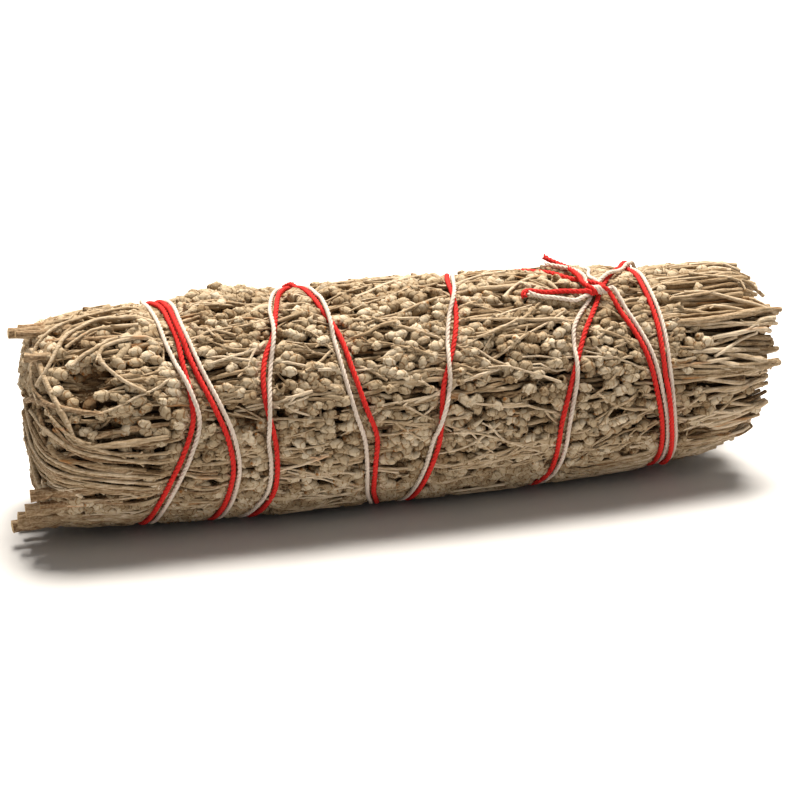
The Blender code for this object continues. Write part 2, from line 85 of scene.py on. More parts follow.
def pressedFlat(radius, angle):  # no further out than just above the floor
    down = -np.cos(np.radians(angle))
    floor = (bunch["axisHeight"] - bunch["floorGap"]) / np.maximum(down, 0.05)
    return np.where(down < 0.05, radius, np.minimum(radius, floor))


def flared(run, angle):  # the upper cut ends spread a little past the last string
    rise = np.clip((run - bunch["flareStart"]) / bunch["flareLength"], 0, 1)
    upper = np.clip(np.cos(np.radians(np.asarray(angle) - bunch["flareAngle"])), 0, 1)
    return bunch["flare"] * rise * rise * (3 - 2 * rise) * upper**1.5


def foldProfile():  # the folded end from foldStart to its middle: run, x, radius, normal
    turn = math.pi / 2 * np.linspace(0, 1, bunch["foldSteps"]) ** 3  # closer steps at foldStart
    x = bunch["foldStart"] - bunch["foldLength"] * np.sin(turn) ** (2 / bunch["foldPower"])
    plain = bunch["radius"] - ((bunch["thickestX"] - x) / bunch["topTaperLength"]) ** 3 * bunch["topTaper"]
    radius = plain * np.maximum(np.cos(turn), 0) ** (2 * bunch["foldRound"])
    run = np.append(0, np.cumsum(np.hypot(np.diff(x), np.diff(radius))))
    alongX, alongRadius = np.gradient(x, run), np.gradient(radius, run)
    size = np.hypot(alongX, alongRadius)
    return run, x, radius, alongRadius / size, -alongX / size


foldRun, foldX, foldRadius, foldNormalX, foldNormalOut = foldProfile()


def reach(run):  # distance from the axis at a run, for turning sideways lengths into angles
    past = np.clip(bunch["foldStart"] - np.asarray(run, float), 0, foldRun[-1])
    return np.where(past > 0, np.interp(past, foldRun, foldRadius), bunchRadius(run))


def sideways(length, run):  # degrees that a sideways length turns, at a run
    return np.degrees(length / np.maximum(reach(run), bunch["leastReach"]))


def place(x, angle, radius):
    turn = np.radians(angle)
    x, turn, radius = np.broadcast_arrays(x, turn, radius)
    y, z = -np.sin(turn) * radius, bunch["axisHeight"] + np.cos(turn) * radius
    return np.stack((x, y, z), axis=-1) + bunch["centring"]


def onBunch(run, angle, depth):
    run = np.asarray(run, float)
    past = np.clip(bunch["foldStart"] - run, 0, foldRun[-1])
    folded = past > 0
    x = np.where(folded, np.interp(past, foldRun, foldX), run)
    radius = np.where(folded, np.interp(past, foldRun, foldRadius), bunchRadius(run))
    inX = np.where(folded, np.interp(past, foldRun, foldNormalX), 0.0)
    inward = np.where(folded, np.interp(past, foldRun, foldNormalOut), 1.0)
    radius = pressedFlat(radius, angle) + flared(run, angle)
    return place(x - inX * depth, angle, radius - inward * depth)


def sprigBorder(index, x):
    turn = 2 * math.pi * np.clip(x, *bunch["swayEnds"]) / bunch["swayLength"]
    sway = np.sin(turn + bunch["swayShift"] * (index % bunch["sprigs"]))
    return 360 / bunch["sprigs"] * (index + 0.5) + bunch["swayAngle"] * sway


def sprigMiddle(index):
    return 360 / bunch["sprigs"] * (index + 1)


def sprigAt(angle):  # the number of the outer sprig at an angle
    width = 360 / bunch["sprigs"]
    return int((angle - width / 2) // width) % bunch["sprigs"]


def insideSprig(index, run, share):
    low, high = sprigBorder(index, run), sprigBorder(index + 1, run)
    return low + (high - low) * share


# The string's winding: (x, angle, distance from the red strand across to the white one).
# Each row is one pass down the front, and the strings go round the back between two rows.
twine = {
    "radius": 0.62, "sink": 0.85, "gap": 0.14, "slope": 0.55,
    "seat": 1.3, "seatHalf": 0.9, "seatSlope": 0.8,  # how deep the sprigs are pressed below it, and how wide
    "ownPoints": 12,  # the newest points of both strands, which neither rises over
    "besidePoints": 4,  # but the white strand does rise over the red one's newest
    "knotX": 46.9, "knotAngle": 25.5, "knotHalf": 1.9, "knotTwist": 0.92, "knotLift": 1.7, "knotPoints": 21,
    "rampPoints": 6, "rampShare": 0.9, "firstPhases": (45, -45), "lastPhases": (135, 225),
    "routeStep": 1.0, "pathStep": 0.5, "softened": 3,
    "seen": (0.62, 0.53), "plies": 3, "pitch": 3.6, "plySides": 6, "step": 0.48, "fray": 2.6,
    "passes": (
        ((50.4, 25, 1.0), (52.2, 37, 1.3), (54.3, 49, 1.4), (56.5, 63, 1.4), (58.5, 84, 1.4),
         (60.5, 104, 1.4), (62.0, 122, 1.4), (63.5, 150, 1.4), (63.0, 250, 1.4)),
        ((61.0, -17, 1.4), (61.5, 0, 1.4), (60.8, 19, 1.4), (60.7, 48, 1.4), (60.8, 76, 1.4),
         (62.0, 98, 1.4), (64.2, 122, 1.4), (66.2, 150, 1.4), (66.0, 250, 1.4)),
        ((62.5, -16, 1.4), (57.5, -3, 1.4), (54.8, 4, 1.2), (51.6, 12, -0.4), (48.0, 21, -1.6),
         (46.0, 29, -1.8), (43.0, 38, -2.6), (40.3, 47, -2.8), (38.8, 57, -1.6), (37.5, 69, 0.2),
         (36.2, 82, 1.5), (35.0, 96, 2.0), (34.8, 112, 2.0), (34.6, 130, 1.6), (33.5, 152, 1.4),
         (31.0, 202, 1.4), (26.5, 250, 1.4)),
        ((17.0, -17, 1.4), (14.3, 4, 1.2), (12.8, 20, 0.0), (11.4, 30, -1.4), (8.7, 50, -1.4),
         (7.2, 62, 0.0), (6.4, 71, 1.4), (5.0, 85, 0.0), (4.0, 96, -1.4), (2.4, 116, -1.4),
         (1.2, 134, -1.5), (0.4, 156, -1.8), (-0.6, 202, -1.5), (-10.0, 258, -1.4)),
        ((-23.5, -17, -1.4), (-27.0, 0, -1.4), (-29.7, 20, -1.3), (-31.0, 35, 0.0), (-33.2, 48, 1.4),
         (-34.5, 62, 1.3), (-34.6, 76, 0.0), (-34.2, 88, -1.4), (-33.6, 104, -1.4), (-33.8, 120, -1.5),
         (-35.5, 136, -2.0), (-37.5, 156, -2.2), (-39.0, 202, -1.5), (-47.0, 264, -1.4)),
        ((-55.7, -17, -1.4), (-54.8, 2, -2.6), (-54.2, 18, -2.5), (-53.6, 32, -2.7), (-52.8, 46, -1.5),
         (-51.3, 62, 0.0), (-50.6, 76, 1.4), (-52.8, 92, 1.7), (-55.8, 109, 1.8), (-58.3, 127, 1.8),
         (-60.2, 154, 1.8), (-58.5, 250, 1.5)),
        ((-52.0, -17, 1.4), (-51.4, 4, 1.4), (-51.3, 19, 1.4), (-50.4, 34, 1.4), (-48.6, 52, 1.4),
         (-45.8, 69, 1.4), (-43.2, 86, 1.4), (-42.1, 103, 1.4), (-42.8, 120, 1.4), (-44.8, 154, 1.4),
         (-45.0, 202, 1.4), (-36.0, 262, 1.4)),
        ((-19.5, -17, 1.4), (-18.6, 6, 1.4), (-17.9, 24, 0.3), (-17.0, 38, -1.4), (-15.6, 60, -2.2),
         (-13.5, 80, -2.7), (-11.7, 92, -2.9), (-11.2, 108, -2.0), (-10.2, 130, -1.5),
         (-7.0, 155, -1.4), (-5.4, 202, -1.4), (12.0, 246, 1.6), (36.0, 308, 12.0)),
        ((43.5, -15, 16.0), (44.6, -8, 13.0), (45.4, 3, 7.4), (46.4, 11, 3.4), (47.4, 18, 1.5)),
    ),
    # tails: (x, angle, lift above the winding), red strand first
    "lowerTail": (
        ((43.0, 26.2, 1.7), (39.1, 24.4, 1.4), (34.2, 24.6, 1.4), (30.6, 22.4, 1.4), (28.8, 23.4, 1.4),
         (29.0, 26.6, 1.3)),
        ((43.2, 29.4, 1.6), (41.0, 31.6, 1.4), (36.0, 28.6, 1.4), (32.5, 27.1, 1.4), (29.9, 25.6, 2.0)),
    ),
    "upperTail": (
        ((44.2, 19.5, 1.9), (44.6, 12.5, 1.6), (44.2, 4.0, 1.5), (43.4, -3.0, 1.6), (42.3, -8.0, 1.9),
         (41.0, -12.0, 2.6), (40.4, -14.5, 3.4)),
        ((45.6, 15.0, 2.2), (45.2, 7.0, 1.7), (43.6, 1.0, 1.5), (41.6, -3.8, 1.5), (39.4, -8.0, 1.6)),
    ),
}


def stringBed(x, angle):  # distance from the axis of a strand's centre where it lies on the sprigs
    return float(pressedFlat(bunchRadius(x), angle)) - twine["sink"]


def smoothRoute(points, step):
    points = np.array(points, float)
    steps = np.diff(points[:, :2] * (1, degreeArc), axis=0)
    lengths = np.append(0, np.cumsum(np.linalg.norm(steps, axis=1)))
    slopes = np.gradient(points, lengths, axis=0)
    out = []
    for i in range(len(points) - 1):
        span = lengths[i + 1] - lengths[i]
        for t in np.arange(0, 1, step / span):
            out.append(points[i] * (1 + 2 * t) * (1 - t) ** 2 + slopes[i] * span * t * (1 - t) ** 2
                       + points[i + 1] * t * t * (3 - 2 * t) - slopes[i + 1] * span * t * t * (1 - t))
    out.append(points[-1])
    return np.array(out)


def layStrands():  # (x, angle, radius) of both strands; a later turn rises over the earlier ones
    route = [(x, angle + 360 * turn, across)
             for turn, row in enumerate(twine["passes"]) for x, angle, across in row]
    route = smoothRoute(route, twine["routeStep"])
    heading = np.gradient(route[:, :2] * (1, degreeArc), axis=0)
    heading /= np.linalg.norm(heading, axis=1)[:, None]
    wound = []
    for side in (-0.5, 0.5):
        x = route[:, 0] + side * route[:, 2] * heading[:, 1]
        angle = route[:, 1] - side * route[:, 2] * heading[:, 0] / degreeArc
        wound.append([[*point, stringBed(*point)] for point in zip(x, angle)])
    for strand in wound:  # both ends rise to the knot
        for i in range(twine["rampPoints"]):
            ramp = twine["knotLift"] * twine["rampShare"] * (1 - i / twine["rampPoints"])
            strand[i][2] += ramp
            strand[-1 - i][2] += ramp
    clear = 2 * twine["radius"] + twine["gap"]
    count = len(route)
    done = np.empty((2 * count, 3))
    for i in range(count):
        for white in (0, 1):
            x, angle, radius = wound[white][i]
            older = done[: max(0, 2 * (i - twine["ownPoints"]))]
            if white:
                older = np.vstack((older, done[max(0, 2 * (i - twine["besidePoints"])): 2 * i + 1: 2]))
            near = older[np.abs(older[:, 0] - x) < clear] if len(older) else older
            for otherX, otherAngle, otherRadius in near:
                turn = (otherAngle - angle + 180) % 360 - 180
                across = math.hypot(x - otherX, math.radians(turn) * otherRadius)
                if across < clear:
                    radius = max(radius, otherRadius + math.sqrt(clear**2 - across**2))
            wound[white][i][2] = radius
            done[2 * i + white] = (x, angle, radius)
    for strand in wound:
        for order, before in ((range(1, count), -1), (range(count - 2, -1, -1), 1)):
            for i in order:
                rise = strand[i + before][2] - stringBed(*strand[i + before][:2]) - twine["slope"]
                strand[i][2] = max(strand[i][2], stringBed(*strand[i][:2]) + rise)
    return np.array(wound)


def knotStrand(phase):  # one strand's way through the knot, from its +X end to its -X end
    centre = stringBed(twine["knotX"], twine["knotAngle"]) + twine["knotLift"]
    out = []
    for u in np.linspace(1, -1, twine["knotPoints"]):
        turn = math.radians(phase) + math.pi * (1 - u)
        radius = centre + twine["knotTwist"] * math.sin(turn)
        angle = twine["knotAngle"] + math.degrees(twine["knotTwist"] * math.cos(turn) / radius)
        out.append((twine["knotX"] + twine["knotHalf"] * u, angle, radius))
    return out


def tailPoints(tail):
    return [(x, angle, stringBed(x, angle) + lift) for x, angle, lift in tail]


def strandPath(white, wound):  # the whole strand: lower tail, knot, winding, knot, upper tail
    firstKnot = knotStrand(twine["firstPhases"][white])
    start = [*reversed(tailPoints(twine["lowerTail"][white])), *reversed(firstKnot)]
    end = [*knotStrand(twine["lastPhases"][white]), *tailPoints(twine["upperTail"][white])]
    points = np.array([*start, *wound[white], *end])
    points = place(points[:, 0], points[:, 1], points[:, 2])
    steps = np.linalg.norm(np.diff(points, axis=0), axis=1)
    length = np.append(0, np.cumsum(steps))
    even = np.arange(0, length[-1], twine["pathStep"])
    points = np.stack([np.interp(even, length, points[:, k]) for k in range(3)], axis=-1)
    for _ in range(twine["softened"]):  # soften the corners where a strand rises over another
        points[1:-1] = (points[:-2] + 2 * points[1:-1] + points[2:]) / 4
    return points


wound = layStrands()


# The surface as a grid: a row is half a millimetre of the run, and a column is one degree
surfaceGrid = {
    "start": -100, "perLength": 2, "rows": 400, "far": 9.0, "stringPatch": (16, 17), "hollowPatch": (14, 12),
}


def gridCell(run, angle):
    row = np.round((np.asarray(run) - surfaceGrid["start"]) * surfaceGrid["perLength"]).astype(int)
    return np.clip(row, 0, surfaceGrid["rows"] - 1), np.round(angle).astype(int) % 360


def gridPatch(x, angle, reachAlong, reachAround):  # the cells round a place, and how far off they are
    row, column = int(round((x - surfaceGrid["start"]) * surfaceGrid["perLength"])), int(round(angle))
    rows = np.arange(row - reachAlong, row + reachAlong + 1)
    columns = np.arange(column - reachAround, column + reachAround + 1)
    along = rows / surfaceGrid["perLength"] + surfaceGrid["start"] - x
    return np.ix_(rows, columns % 360), along[:, None], (columns - angle)[None] * degreeArc


def stringDistances():  # how far each cell is from a strand
    grid = np.full((surfaceGrid["rows"], 360), surfaceGrid["far"])
    for x, angle, _ in [*wound.reshape(-1, 3), *knotStrand(0), *knotStrand(180)]:
        spot, along, around = gridPatch(x, angle, *surfaceGrid["stringPatch"])
        grid[spot] = np.minimum(grid[spot], np.hypot(along, around))
    return grid


distanceGrid = stringDistances()

# Hollows between the sprigs, where the dark inside shows. The nests are the large ones in the folded end:
# run, angle, half length, half width, depth
hollows = {
    "seed": 31, "count": 170, "low": 60, "runs": (-80, 72), "lowAngles": (76, 126), "halfLength": (1.2, 4.2),
    "halfWidth": (0.4, 0.9), "depth": (2.4, 4.0), "rim": 1.6, "slope": 0.6,
    "nests": ((-71.6, 47, 3.2, 2.8, 5.2), (-75.0, 56, 2.8, 2.0, 4.6), (-68.0, 74, 2.4, 1.3, 3.6)),
}


def hollowDepths():
    rng = np.random.default_rng(hollows["seed"])
    grid = np.zeros((surfaceGrid["rows"], 360))
    spots = list(hollows["nests"])
    for k in range(hollows["count"] + hollows["low"]):
        angles = (0, 360) if k < hollows["count"] else hollows["lowAngles"]
        ranges = (hollows["runs"], angles, hollows["halfLength"], hollows["halfWidth"], hollows["depth"])
        spots.append([rng.uniform(*each) for each in ranges])
    for x, angle, halfLength, halfWidth, depth in spots:
        spot, along, around = gridPatch(x, angle, *surfaceGrid["hollowPatch"])
        far = np.hypot(along / halfLength, around / halfWidth)
        grid[spot] = np.maximum(grid[spot], depth * np.clip((hollows["rim"] - far) / hollows["slope"], 0, 1))
    return grid


hollowGrid = hollowDepths()


def belowString(cell, radius):  # the least depth that passes below the strings
    return twine["seat"] + radius - twine["seatSlope"] * np.maximum(distanceGrid[cell] - twine["seatHalf"], 0)


def belowAll(run, angle, depth, radius):  # a depth made enough to pass below the strings and the hollows
    cell = gridCell(run, angle)
    hollow = hollowGrid[cell]
    belowHollow = np.where(hollow > 0, hollow + radius, 0)
    return np.maximum(depth, np.maximum(belowString(cell, radius), belowHollow))


print("bunch form and string route ready")


# Nodes

class Wire:  # a node's output, on which the arithmetic signs add Math nodes
    def __init__(self, tree, socket):
        self.tree, self.socket = tree, socket

    def math(self, operation, first, second):
        return self.tree.add("ShaderNodeMath", {0: first, 1: second}, operation=operation)

    def __add__(self, other):
        return self.math("ADD", self, other)

    def __sub__(self, other):
        return self.math("SUBTRACT", self, other)

    def __rsub__(self, other):
        return self.math("SUBTRACT", other, self)

    def __mul__(self, other):
        return self.math("MULTIPLY", self, other)

    def __truediv__(self, other):
        return self.math("DIVIDE", self, other)

    def __rtruediv__(self, other):
        return self.math("DIVIDE", other, self)

    __radd__ = __add__
    __rmul__ = __mul__


class Tree:  # a node tree, to which one method adds any node
    def __init__(self, tree):
        self.tree = tree
        tree.nodes.clear()

    def add(self, kind, inputs=None, out=0, stops=None, **settings):
        node = self.tree.nodes.new(kind)
        for name, value in settings.items():
            setattr(node, name, value)
        if stops:
            ramp = node.color_ramp
            for _ in stops[2:]:
                ramp.elements.new(0.5)
            for element, (position, colour) in zip(ramp.elements, stops):
                element.position, element.color = position, (*colour, 1)
        for key, value in (inputs or {}).items():
            for single in value if isinstance(value, list) else [value]:
                if isinstance(single, Wire):
                    self.tree.links.new(single.socket, node.inputs[key])
                else:
                    node.inputs[key].default_value = single
        return Wire(self, node.outputs[out] if node.outputs else None)


def shaderTree(name):
    material = bpy.data.materials.new(name)
    material.use_nodes = True
    return material, Tree(material.node_tree)


def geometryTree(name, inputs):  # a tree with named inputs, and a Wire for each of them
    group = bpy.data.node_groups.new(name, "GeometryNodeTree")
    group.interface.new_socket("Geometry", in_out="INPUT", socket_type="NodeSocketGeometry")
    group.interface.new_socket("Geometry", in_out="OUTPUT", socket_type="NodeSocketGeometry")
    for title, kind in inputs.items():
        group.interface.new_socket(title, in_out="INPUT", socket_type="NodeSocket" + kind)
    tree = Tree(group)
    entry = group.nodes.new("NodeGroupInput")
    return tree, {title: Wire(tree, entry.outputs[title]) for title in ("Geometry", *inputs)}


def runTree(name, mesh, tree, values):  # the tree's result on a mesh, as a plain mesh object
    carrier = bpy.data.objects.new(name + "Guide", mesh)
    bpy.context.scene.collection.objects.link(carrier)
    modifier = carrier.modifiers.new("nodes", "NODES")
    modifier.node_group = tree.tree
    for item in tree.tree.interface.items_tree:
        if item.in_out == "INPUT" and item.name in values:
            modifier[item.identifier] = values[item.name]
    bpy.context.view_layer.update()
    graph = bpy.context.evaluated_depsgraph_get()
    result = bpy.data.meshes.new_from_object(carrier.evaluated_get(graph))
    bpy.data.objects.remove(carrier)
    piece = bpy.data.objects.new(name, result)
    bpy.context.scene.collection.objects.link(piece)
    return piece


# Finishes

# Tones run from 0 to 1, and the stops say which colour a tone has
sageLooks = {
    # The darkest stops are reached mostly through painted shade: the deep stems and buds, and the base stems
    "stops": ((0.0, (0.055, 0.026, 0.010)), (0.28, (0.20, 0.128, 0.063)), (0.58, (0.40, 0.295, 0.182)),
              (0.95, (0.63, 0.515, 0.375))),
    "barkStops": ((0.36, (0.05, 0.026, 0.012)), (0.5, (0.22, 0.12, 0.055)), (0.62, (0.42, 0.31, 0.19))),
    "budStops": ((0.0, (0.10, 0.050, 0.018)), (0.3, (0.21, 0.137, 0.068)), (0.62, (0.43, 0.333, 0.215)),
                 (0.98, (0.66, 0.565, 0.425))),
    "pith": (0.60, 0.42, 0.22), "peel": (0.38, 0.15, 0.035), "roughness": 0.88, "specular": 0.25,
    "stemStretch": (0.14, 1.0, 1.0), "stemBump": 0.00026, "budBump": 0.00024, "bumpStrength": 0.8,
}
cottonLooks = {
    "redCotton": ((0.3, (0.40, 0.011, 0.008)), (0.62, (0.74, 0.026, 0.018))),
    "whiteCotton": ((0.3, (0.52, 0.42, 0.34)), (0.62, (0.74, 0.64, 0.55))),
    "roughness": 0.8, "specular": 0.3, "bump": 0.00008, "bumpStrength": 0.5,
}


def attribute(tree, name):
    return tree.add("ShaderNodeAttribute", out=2, attribute_name=name)


def noise(tree, spot, scale, detail):
    return tree.add("ShaderNodeTexNoise", {"Vector": spot, "Scale": scale, "Detail": detail})


def mixed(tree, amount, under, over):  # one colour under another
    return tree.add("ShaderNodeMix", {0: amount, 6: under, 7: over}, out=2, data_type="RGBA")


def surfaceOf(tree, colour, bump, looks):
    surface = tree.add("ShaderNodeBsdfPrincipled", {
        "Base Color": colour, "Roughness": looks["roughness"], "Normal": bump,
        "Specular IOR Level": looks["specular"]})
    tree.add("ShaderNodeOutputMaterial", {0: surface})


def sageStemFinish():
    material, tree = shaderTree("driedSageStem")
    tone = attribute(tree, "tone")
    cut = attribute(tree, "cutEnd")
    spot = tree.add("ShaderNodeTexCoord", out=3)
    stretched = tree.add("ShaderNodeMapping", {0: spot, 3: sageLooks["stemStretch"]})
    streaks = noise(tree, stretched, 2600, 3)
    felt = noise(tree, spot, 1900, 4)
    patches = noise(tree, spot, 90, 3)
    shade = tone + (streaks - 0.5) * 1.0 + (felt - 0.5) * 0.45 + (patches - 0.5) * 0.6
    colour = tree.add("ShaderNodeValToRGB", {0: shade}, stops=sageLooks["stops"])
    peelSpots = noise(tree, stretched, 420, 2)
    peel = tree.add("ShaderNodeMapRange", {0: peelSpots, 1: 0.63, 2: 0.72})
    peeled = mixed(tree, peel * 0.55, colour, (*sageLooks["peel"], 1))
    bark = attribute(tree, "bark")
    barkColour = tree.add("ShaderNodeValToRGB", {0: streaks * 0.6 + felt * 0.4}, stops=sageLooks["barkStops"])
    barkAmount = tree.add("ShaderNodeMapRange", {0: patches + bark * 0.6, 1: 0.62, 2: 0.78})
    barked = mixed(tree, barkAmount * bark, peeled, barkColour)
    pith = mixed(tree, cut * 0.85, barked, (*sageLooks["pith"], 1))
    bump = tree.add("ShaderNodeBump", {
        "Strength": sageLooks["bumpStrength"], "Distance": sageLooks["stemBump"],
        "Height": streaks + felt * 0.5})
    surfaceOf(tree, pith, bump, sageLooks)
    return material


def sageBudFinish():
    material, tree = shaderTree("driedSageBud")
    tone = attribute(tree, "tone")
    spot = tree.add("ShaderNodeTexCoord", out=3)
    plan = tree.add("ShaderNodeUVMap", uv_map="UVMap")
    around = tree.add("ShaderNodeSeparateXYZ", {0: plan}, out=0)
    along = tree.add("ShaderNodeSeparateXYZ", {0: plan}, out=1)
    bract = tree.add("ShaderNodeMath", {0: around * 3 + along * 0.8}, operation="FRACT")
    bow = (bract - 0.5) * (bract - 0.5) * 1.5
    scale = tree.add("ShaderNodeMath", {0: along * 2.7 + bow}, operation="FRACT")
    # painted shade just past each bract's edge, in the crease under the bract that overlaps it; in dry
    # patches it is browner too
    creaseShade = tree.add("ShaderNodeMapRange", {0: scale, 1: 0.24, 2: 0.0})
    tip = tree.add("ShaderNodeMapRange", {0: along, 1: 0.82, 2: 0.97})
    felt = noise(tree, spot, 2300, 4)
    patches = noise(tree, spot, 160, 2)
    shade = tone + (felt - 0.5) * 0.5 + (patches - 0.5) * 0.7 - creaseShade * 0.42 - tip * 0.45
    colour = tree.add("ShaderNodeValToRGB", {0: shade}, stops=sageLooks["budStops"])
    dry = tree.add("ShaderNodeMapRange", {0: patches, 1: 0.48, 2: 0.62})
    tipped = mixed(tree, dry * (tip * 0.7 + creaseShade * 0.35), colour, (*sageLooks["peel"], 1))
    bump = tree.add("ShaderNodeBump", {
        "Strength": sageLooks["bumpStrength"], "Distance": sageLooks["budBump"],
        "Height": scale * 0.8 + felt * 0.7})
    surfaceOf(tree, tipped, bump, sageLooks)
    return material


def cottonFinish(name):
    material, tree = shaderTree(name)
    spot = tree.add("ShaderNodeTexCoord", out=3)
    fibres = noise(tree, spot, 5200, 3)
    patches = noise(tree, spot, 160, 2)
    shade = fibres * 0.7 + patches * 0.3
    colour = tree.add("ShaderNodeValToRGB", {0: shade}, stops=cottonLooks[name])
    bump = tree.add("ShaderNodeBump", {
        "Strength": cottonLooks["bumpStrength"], "Distance": cottonLooks["bump"], "Height": fibres})
    surfaceOf(tree, colour, bump, cottonLooks)
    return material


stemFinish = sageStemFinish()
budFinish = sageBudFinish()
redFinish = cottonFinish("redCotton")
whiteFinish = cottonFinish("whiteCotton")
print("finishes ready")


# Flower buds, husks and leaves, one unit long along +Z and facing +Y, of which the sprigs take copies

budShapes = {
    "seed": 40, "buds": 5, "husks": 2, "leaves": 3, "sides": 9, "thickness": 0.34, "lobes": 0.17,
    "flatness": (0.84, 1.0), "lean": 0.09, "uneven": (0.89, 1.07), "unevenHeight": 0.02, "twist": 0.35,
    "profile": ((0.0, 0.28), (0.10, 0.72), (0.30, 1.0), (0.55, 1.0), (0.77, 0.80), (0.92, 0.46), (1.0, 0.16)),
    "openProfile": ((0.0, 0.2), (0.15, 0.6), (0.42, 0.95), (0.7, 1.0), (0.95, 0.86), (0.9, 0.62),
                    (0.55, 0.35)),
}


def budMesh(kind, profile):
    rng = np.random.default_rng(budShapes["seed"] + kind)
    bm = bmesh.new()
    uv = bm.loops.layers.uv.new("UVMap")
    sides = budShapes["sides"]
    rings = []
    flat = rng.uniform(*budShapes["flatness"])
    lean = rng.uniform(-budShapes["lean"], budShapes["lean"], 2)
    for level, (height, width) in enumerate(profile):
        ring = []
        for k in range(sides):
            turn = 2 * math.pi * (k + budShapes["twist"] * level) / sides
            bract = 1 + budShapes["lobes"] * math.cos(3 * turn + 2.2 * level) * min(4 * height, 1)
            radius = budShapes["thickness"] * width * bract * rng.uniform(*budShapes["uneven"])
            bend = lean * height**2
            z = height + rng.uniform(-budShapes["unevenHeight"], budShapes["unevenHeight"])
            x, y = math.cos(turn) * radius, math.sin(turn) * radius * flat
            ring.append(bm.verts.new((x + bend[0], y + bend[1], z)))
        rings.append(ring)
    levels = len(rings) - 1
    for level, (low, high) in enumerate(zip(rings, rings[1:])):
        for k in range(sides):
            face = bm.faces.new((low[k], low[(k + 1) % sides], high[(k + 1) % sides], high[k]))
            corners = ((k, level), (k + 1, level), (k + 1, level + 1), (k, level + 1))
            for loop, (u, v) in zip(face.loops, corners):
                loop[uv].uv = (u / sides, v / levels)
    for ring, v in ((rings[0][::-1], 0.0), (rings[-1], 0.99)):
        for loop in bm.faces.new(ring).loops:
            loop[uv].uv = (0.5, v)
    mesh = bpy.data.meshes.new("bud")
    bm.to_mesh(mesh)
    bm.free()
    return mesh


leafShapes = {
    "seed": 70, "steps": 6, "across": (-1, -0.5, 0, 0.5, 1), "width": 0.10, "thickness": 0.03, "rise": 0.10,
    "curl": (0.9, 1.5), "sweep": (-0.3, 0.3), "laidWidth": 0.13,
}


def leafMesh(kind):  # a dry narrow leaf, rolled in along its length
    rng = np.random.default_rng(leafShapes["seed"] + kind)
    curl, aside = rng.uniform(*leafShapes["curl"]), rng.uniform(*leafShapes["sweep"])
    bm = bmesh.new()
    uv = bm.loops.layers.uv.new("UVMap")
    sheets = []
    for side in (1, -1):
        rows = []
        for t in np.linspace(0, 1, leafShapes["steps"] + 1):
            half = leafShapes["width"] * (0.12 + math.sin(math.pi * min(t * 0.9 + 0.1, 1)) ** 0.8)
            row = []
            for across in leafShapes["across"]:
                x = half * math.sin(across * curl) / curl * 1.3
                y = half * (math.cos(across * curl) - 1) + leafShapes["rise"] * math.sin(math.pi * t)
                row.append(bm.verts.new((x + aside * t * t, y + side * leafShapes["thickness"] / 2, t)))
            rows.append(row)
        sheets.append(rows)
    upper, lower = sheets
    last, edge = leafShapes["steps"], len(leafShapes["across"]) - 1
    for i in range(last):
        for k in range(edge):
            bm.faces.new((upper[i][k], upper[i][k + 1], upper[i + 1][k + 1], upper[i + 1][k]))
            bm.faces.new((lower[i][k], lower[i + 1][k], lower[i + 1][k + 1], lower[i][k + 1]))
        for k in (0, edge):
            bm.faces.new((upper[i][k], upper[i + 1][k], lower[i + 1][k], lower[i][k]))
    for i in (0, last):
        for k in range(edge):
            bm.faces.new((upper[i][k], upper[i][k + 1], lower[i][k + 1], lower[i][k]))
    bmesh.ops.recalc_face_normals(bm, faces=bm.faces)
    for face in bm.faces:
        for loop in face.loops:
            loop[uv].uv = (0.5, 0.1)
    mesh = bpy.data.meshes.new("leaf")
    bm.to_mesh(mesh)
    bm.free()
    return mesh


firstHusk = budShapes["buds"]
firstLeaf = firstHusk + budShapes["husks"]
kindCollection = bpy.data.collections.new("kinds")
for kind in range(firstLeaf + budShapes["leaves"]):
    if kind >= firstLeaf:
        kindMesh = leafMesh(kind)
    else:
        kindMesh = budMesh(kind, budShapes["openProfile" if kind >= firstHusk else "profile"])
    kindCollection.objects.link(bpy.data.objects.new(f"kind{kind}", kindMesh))


# The tree that grows a sprig: lines become round stems, and loose points become buds or leaves

def named(tree, title, kind):  # the value of an attribute, by its name
    return tree.add("GeometryNodeInputNamedAttribute", {"Name": title}, data_type=kind)


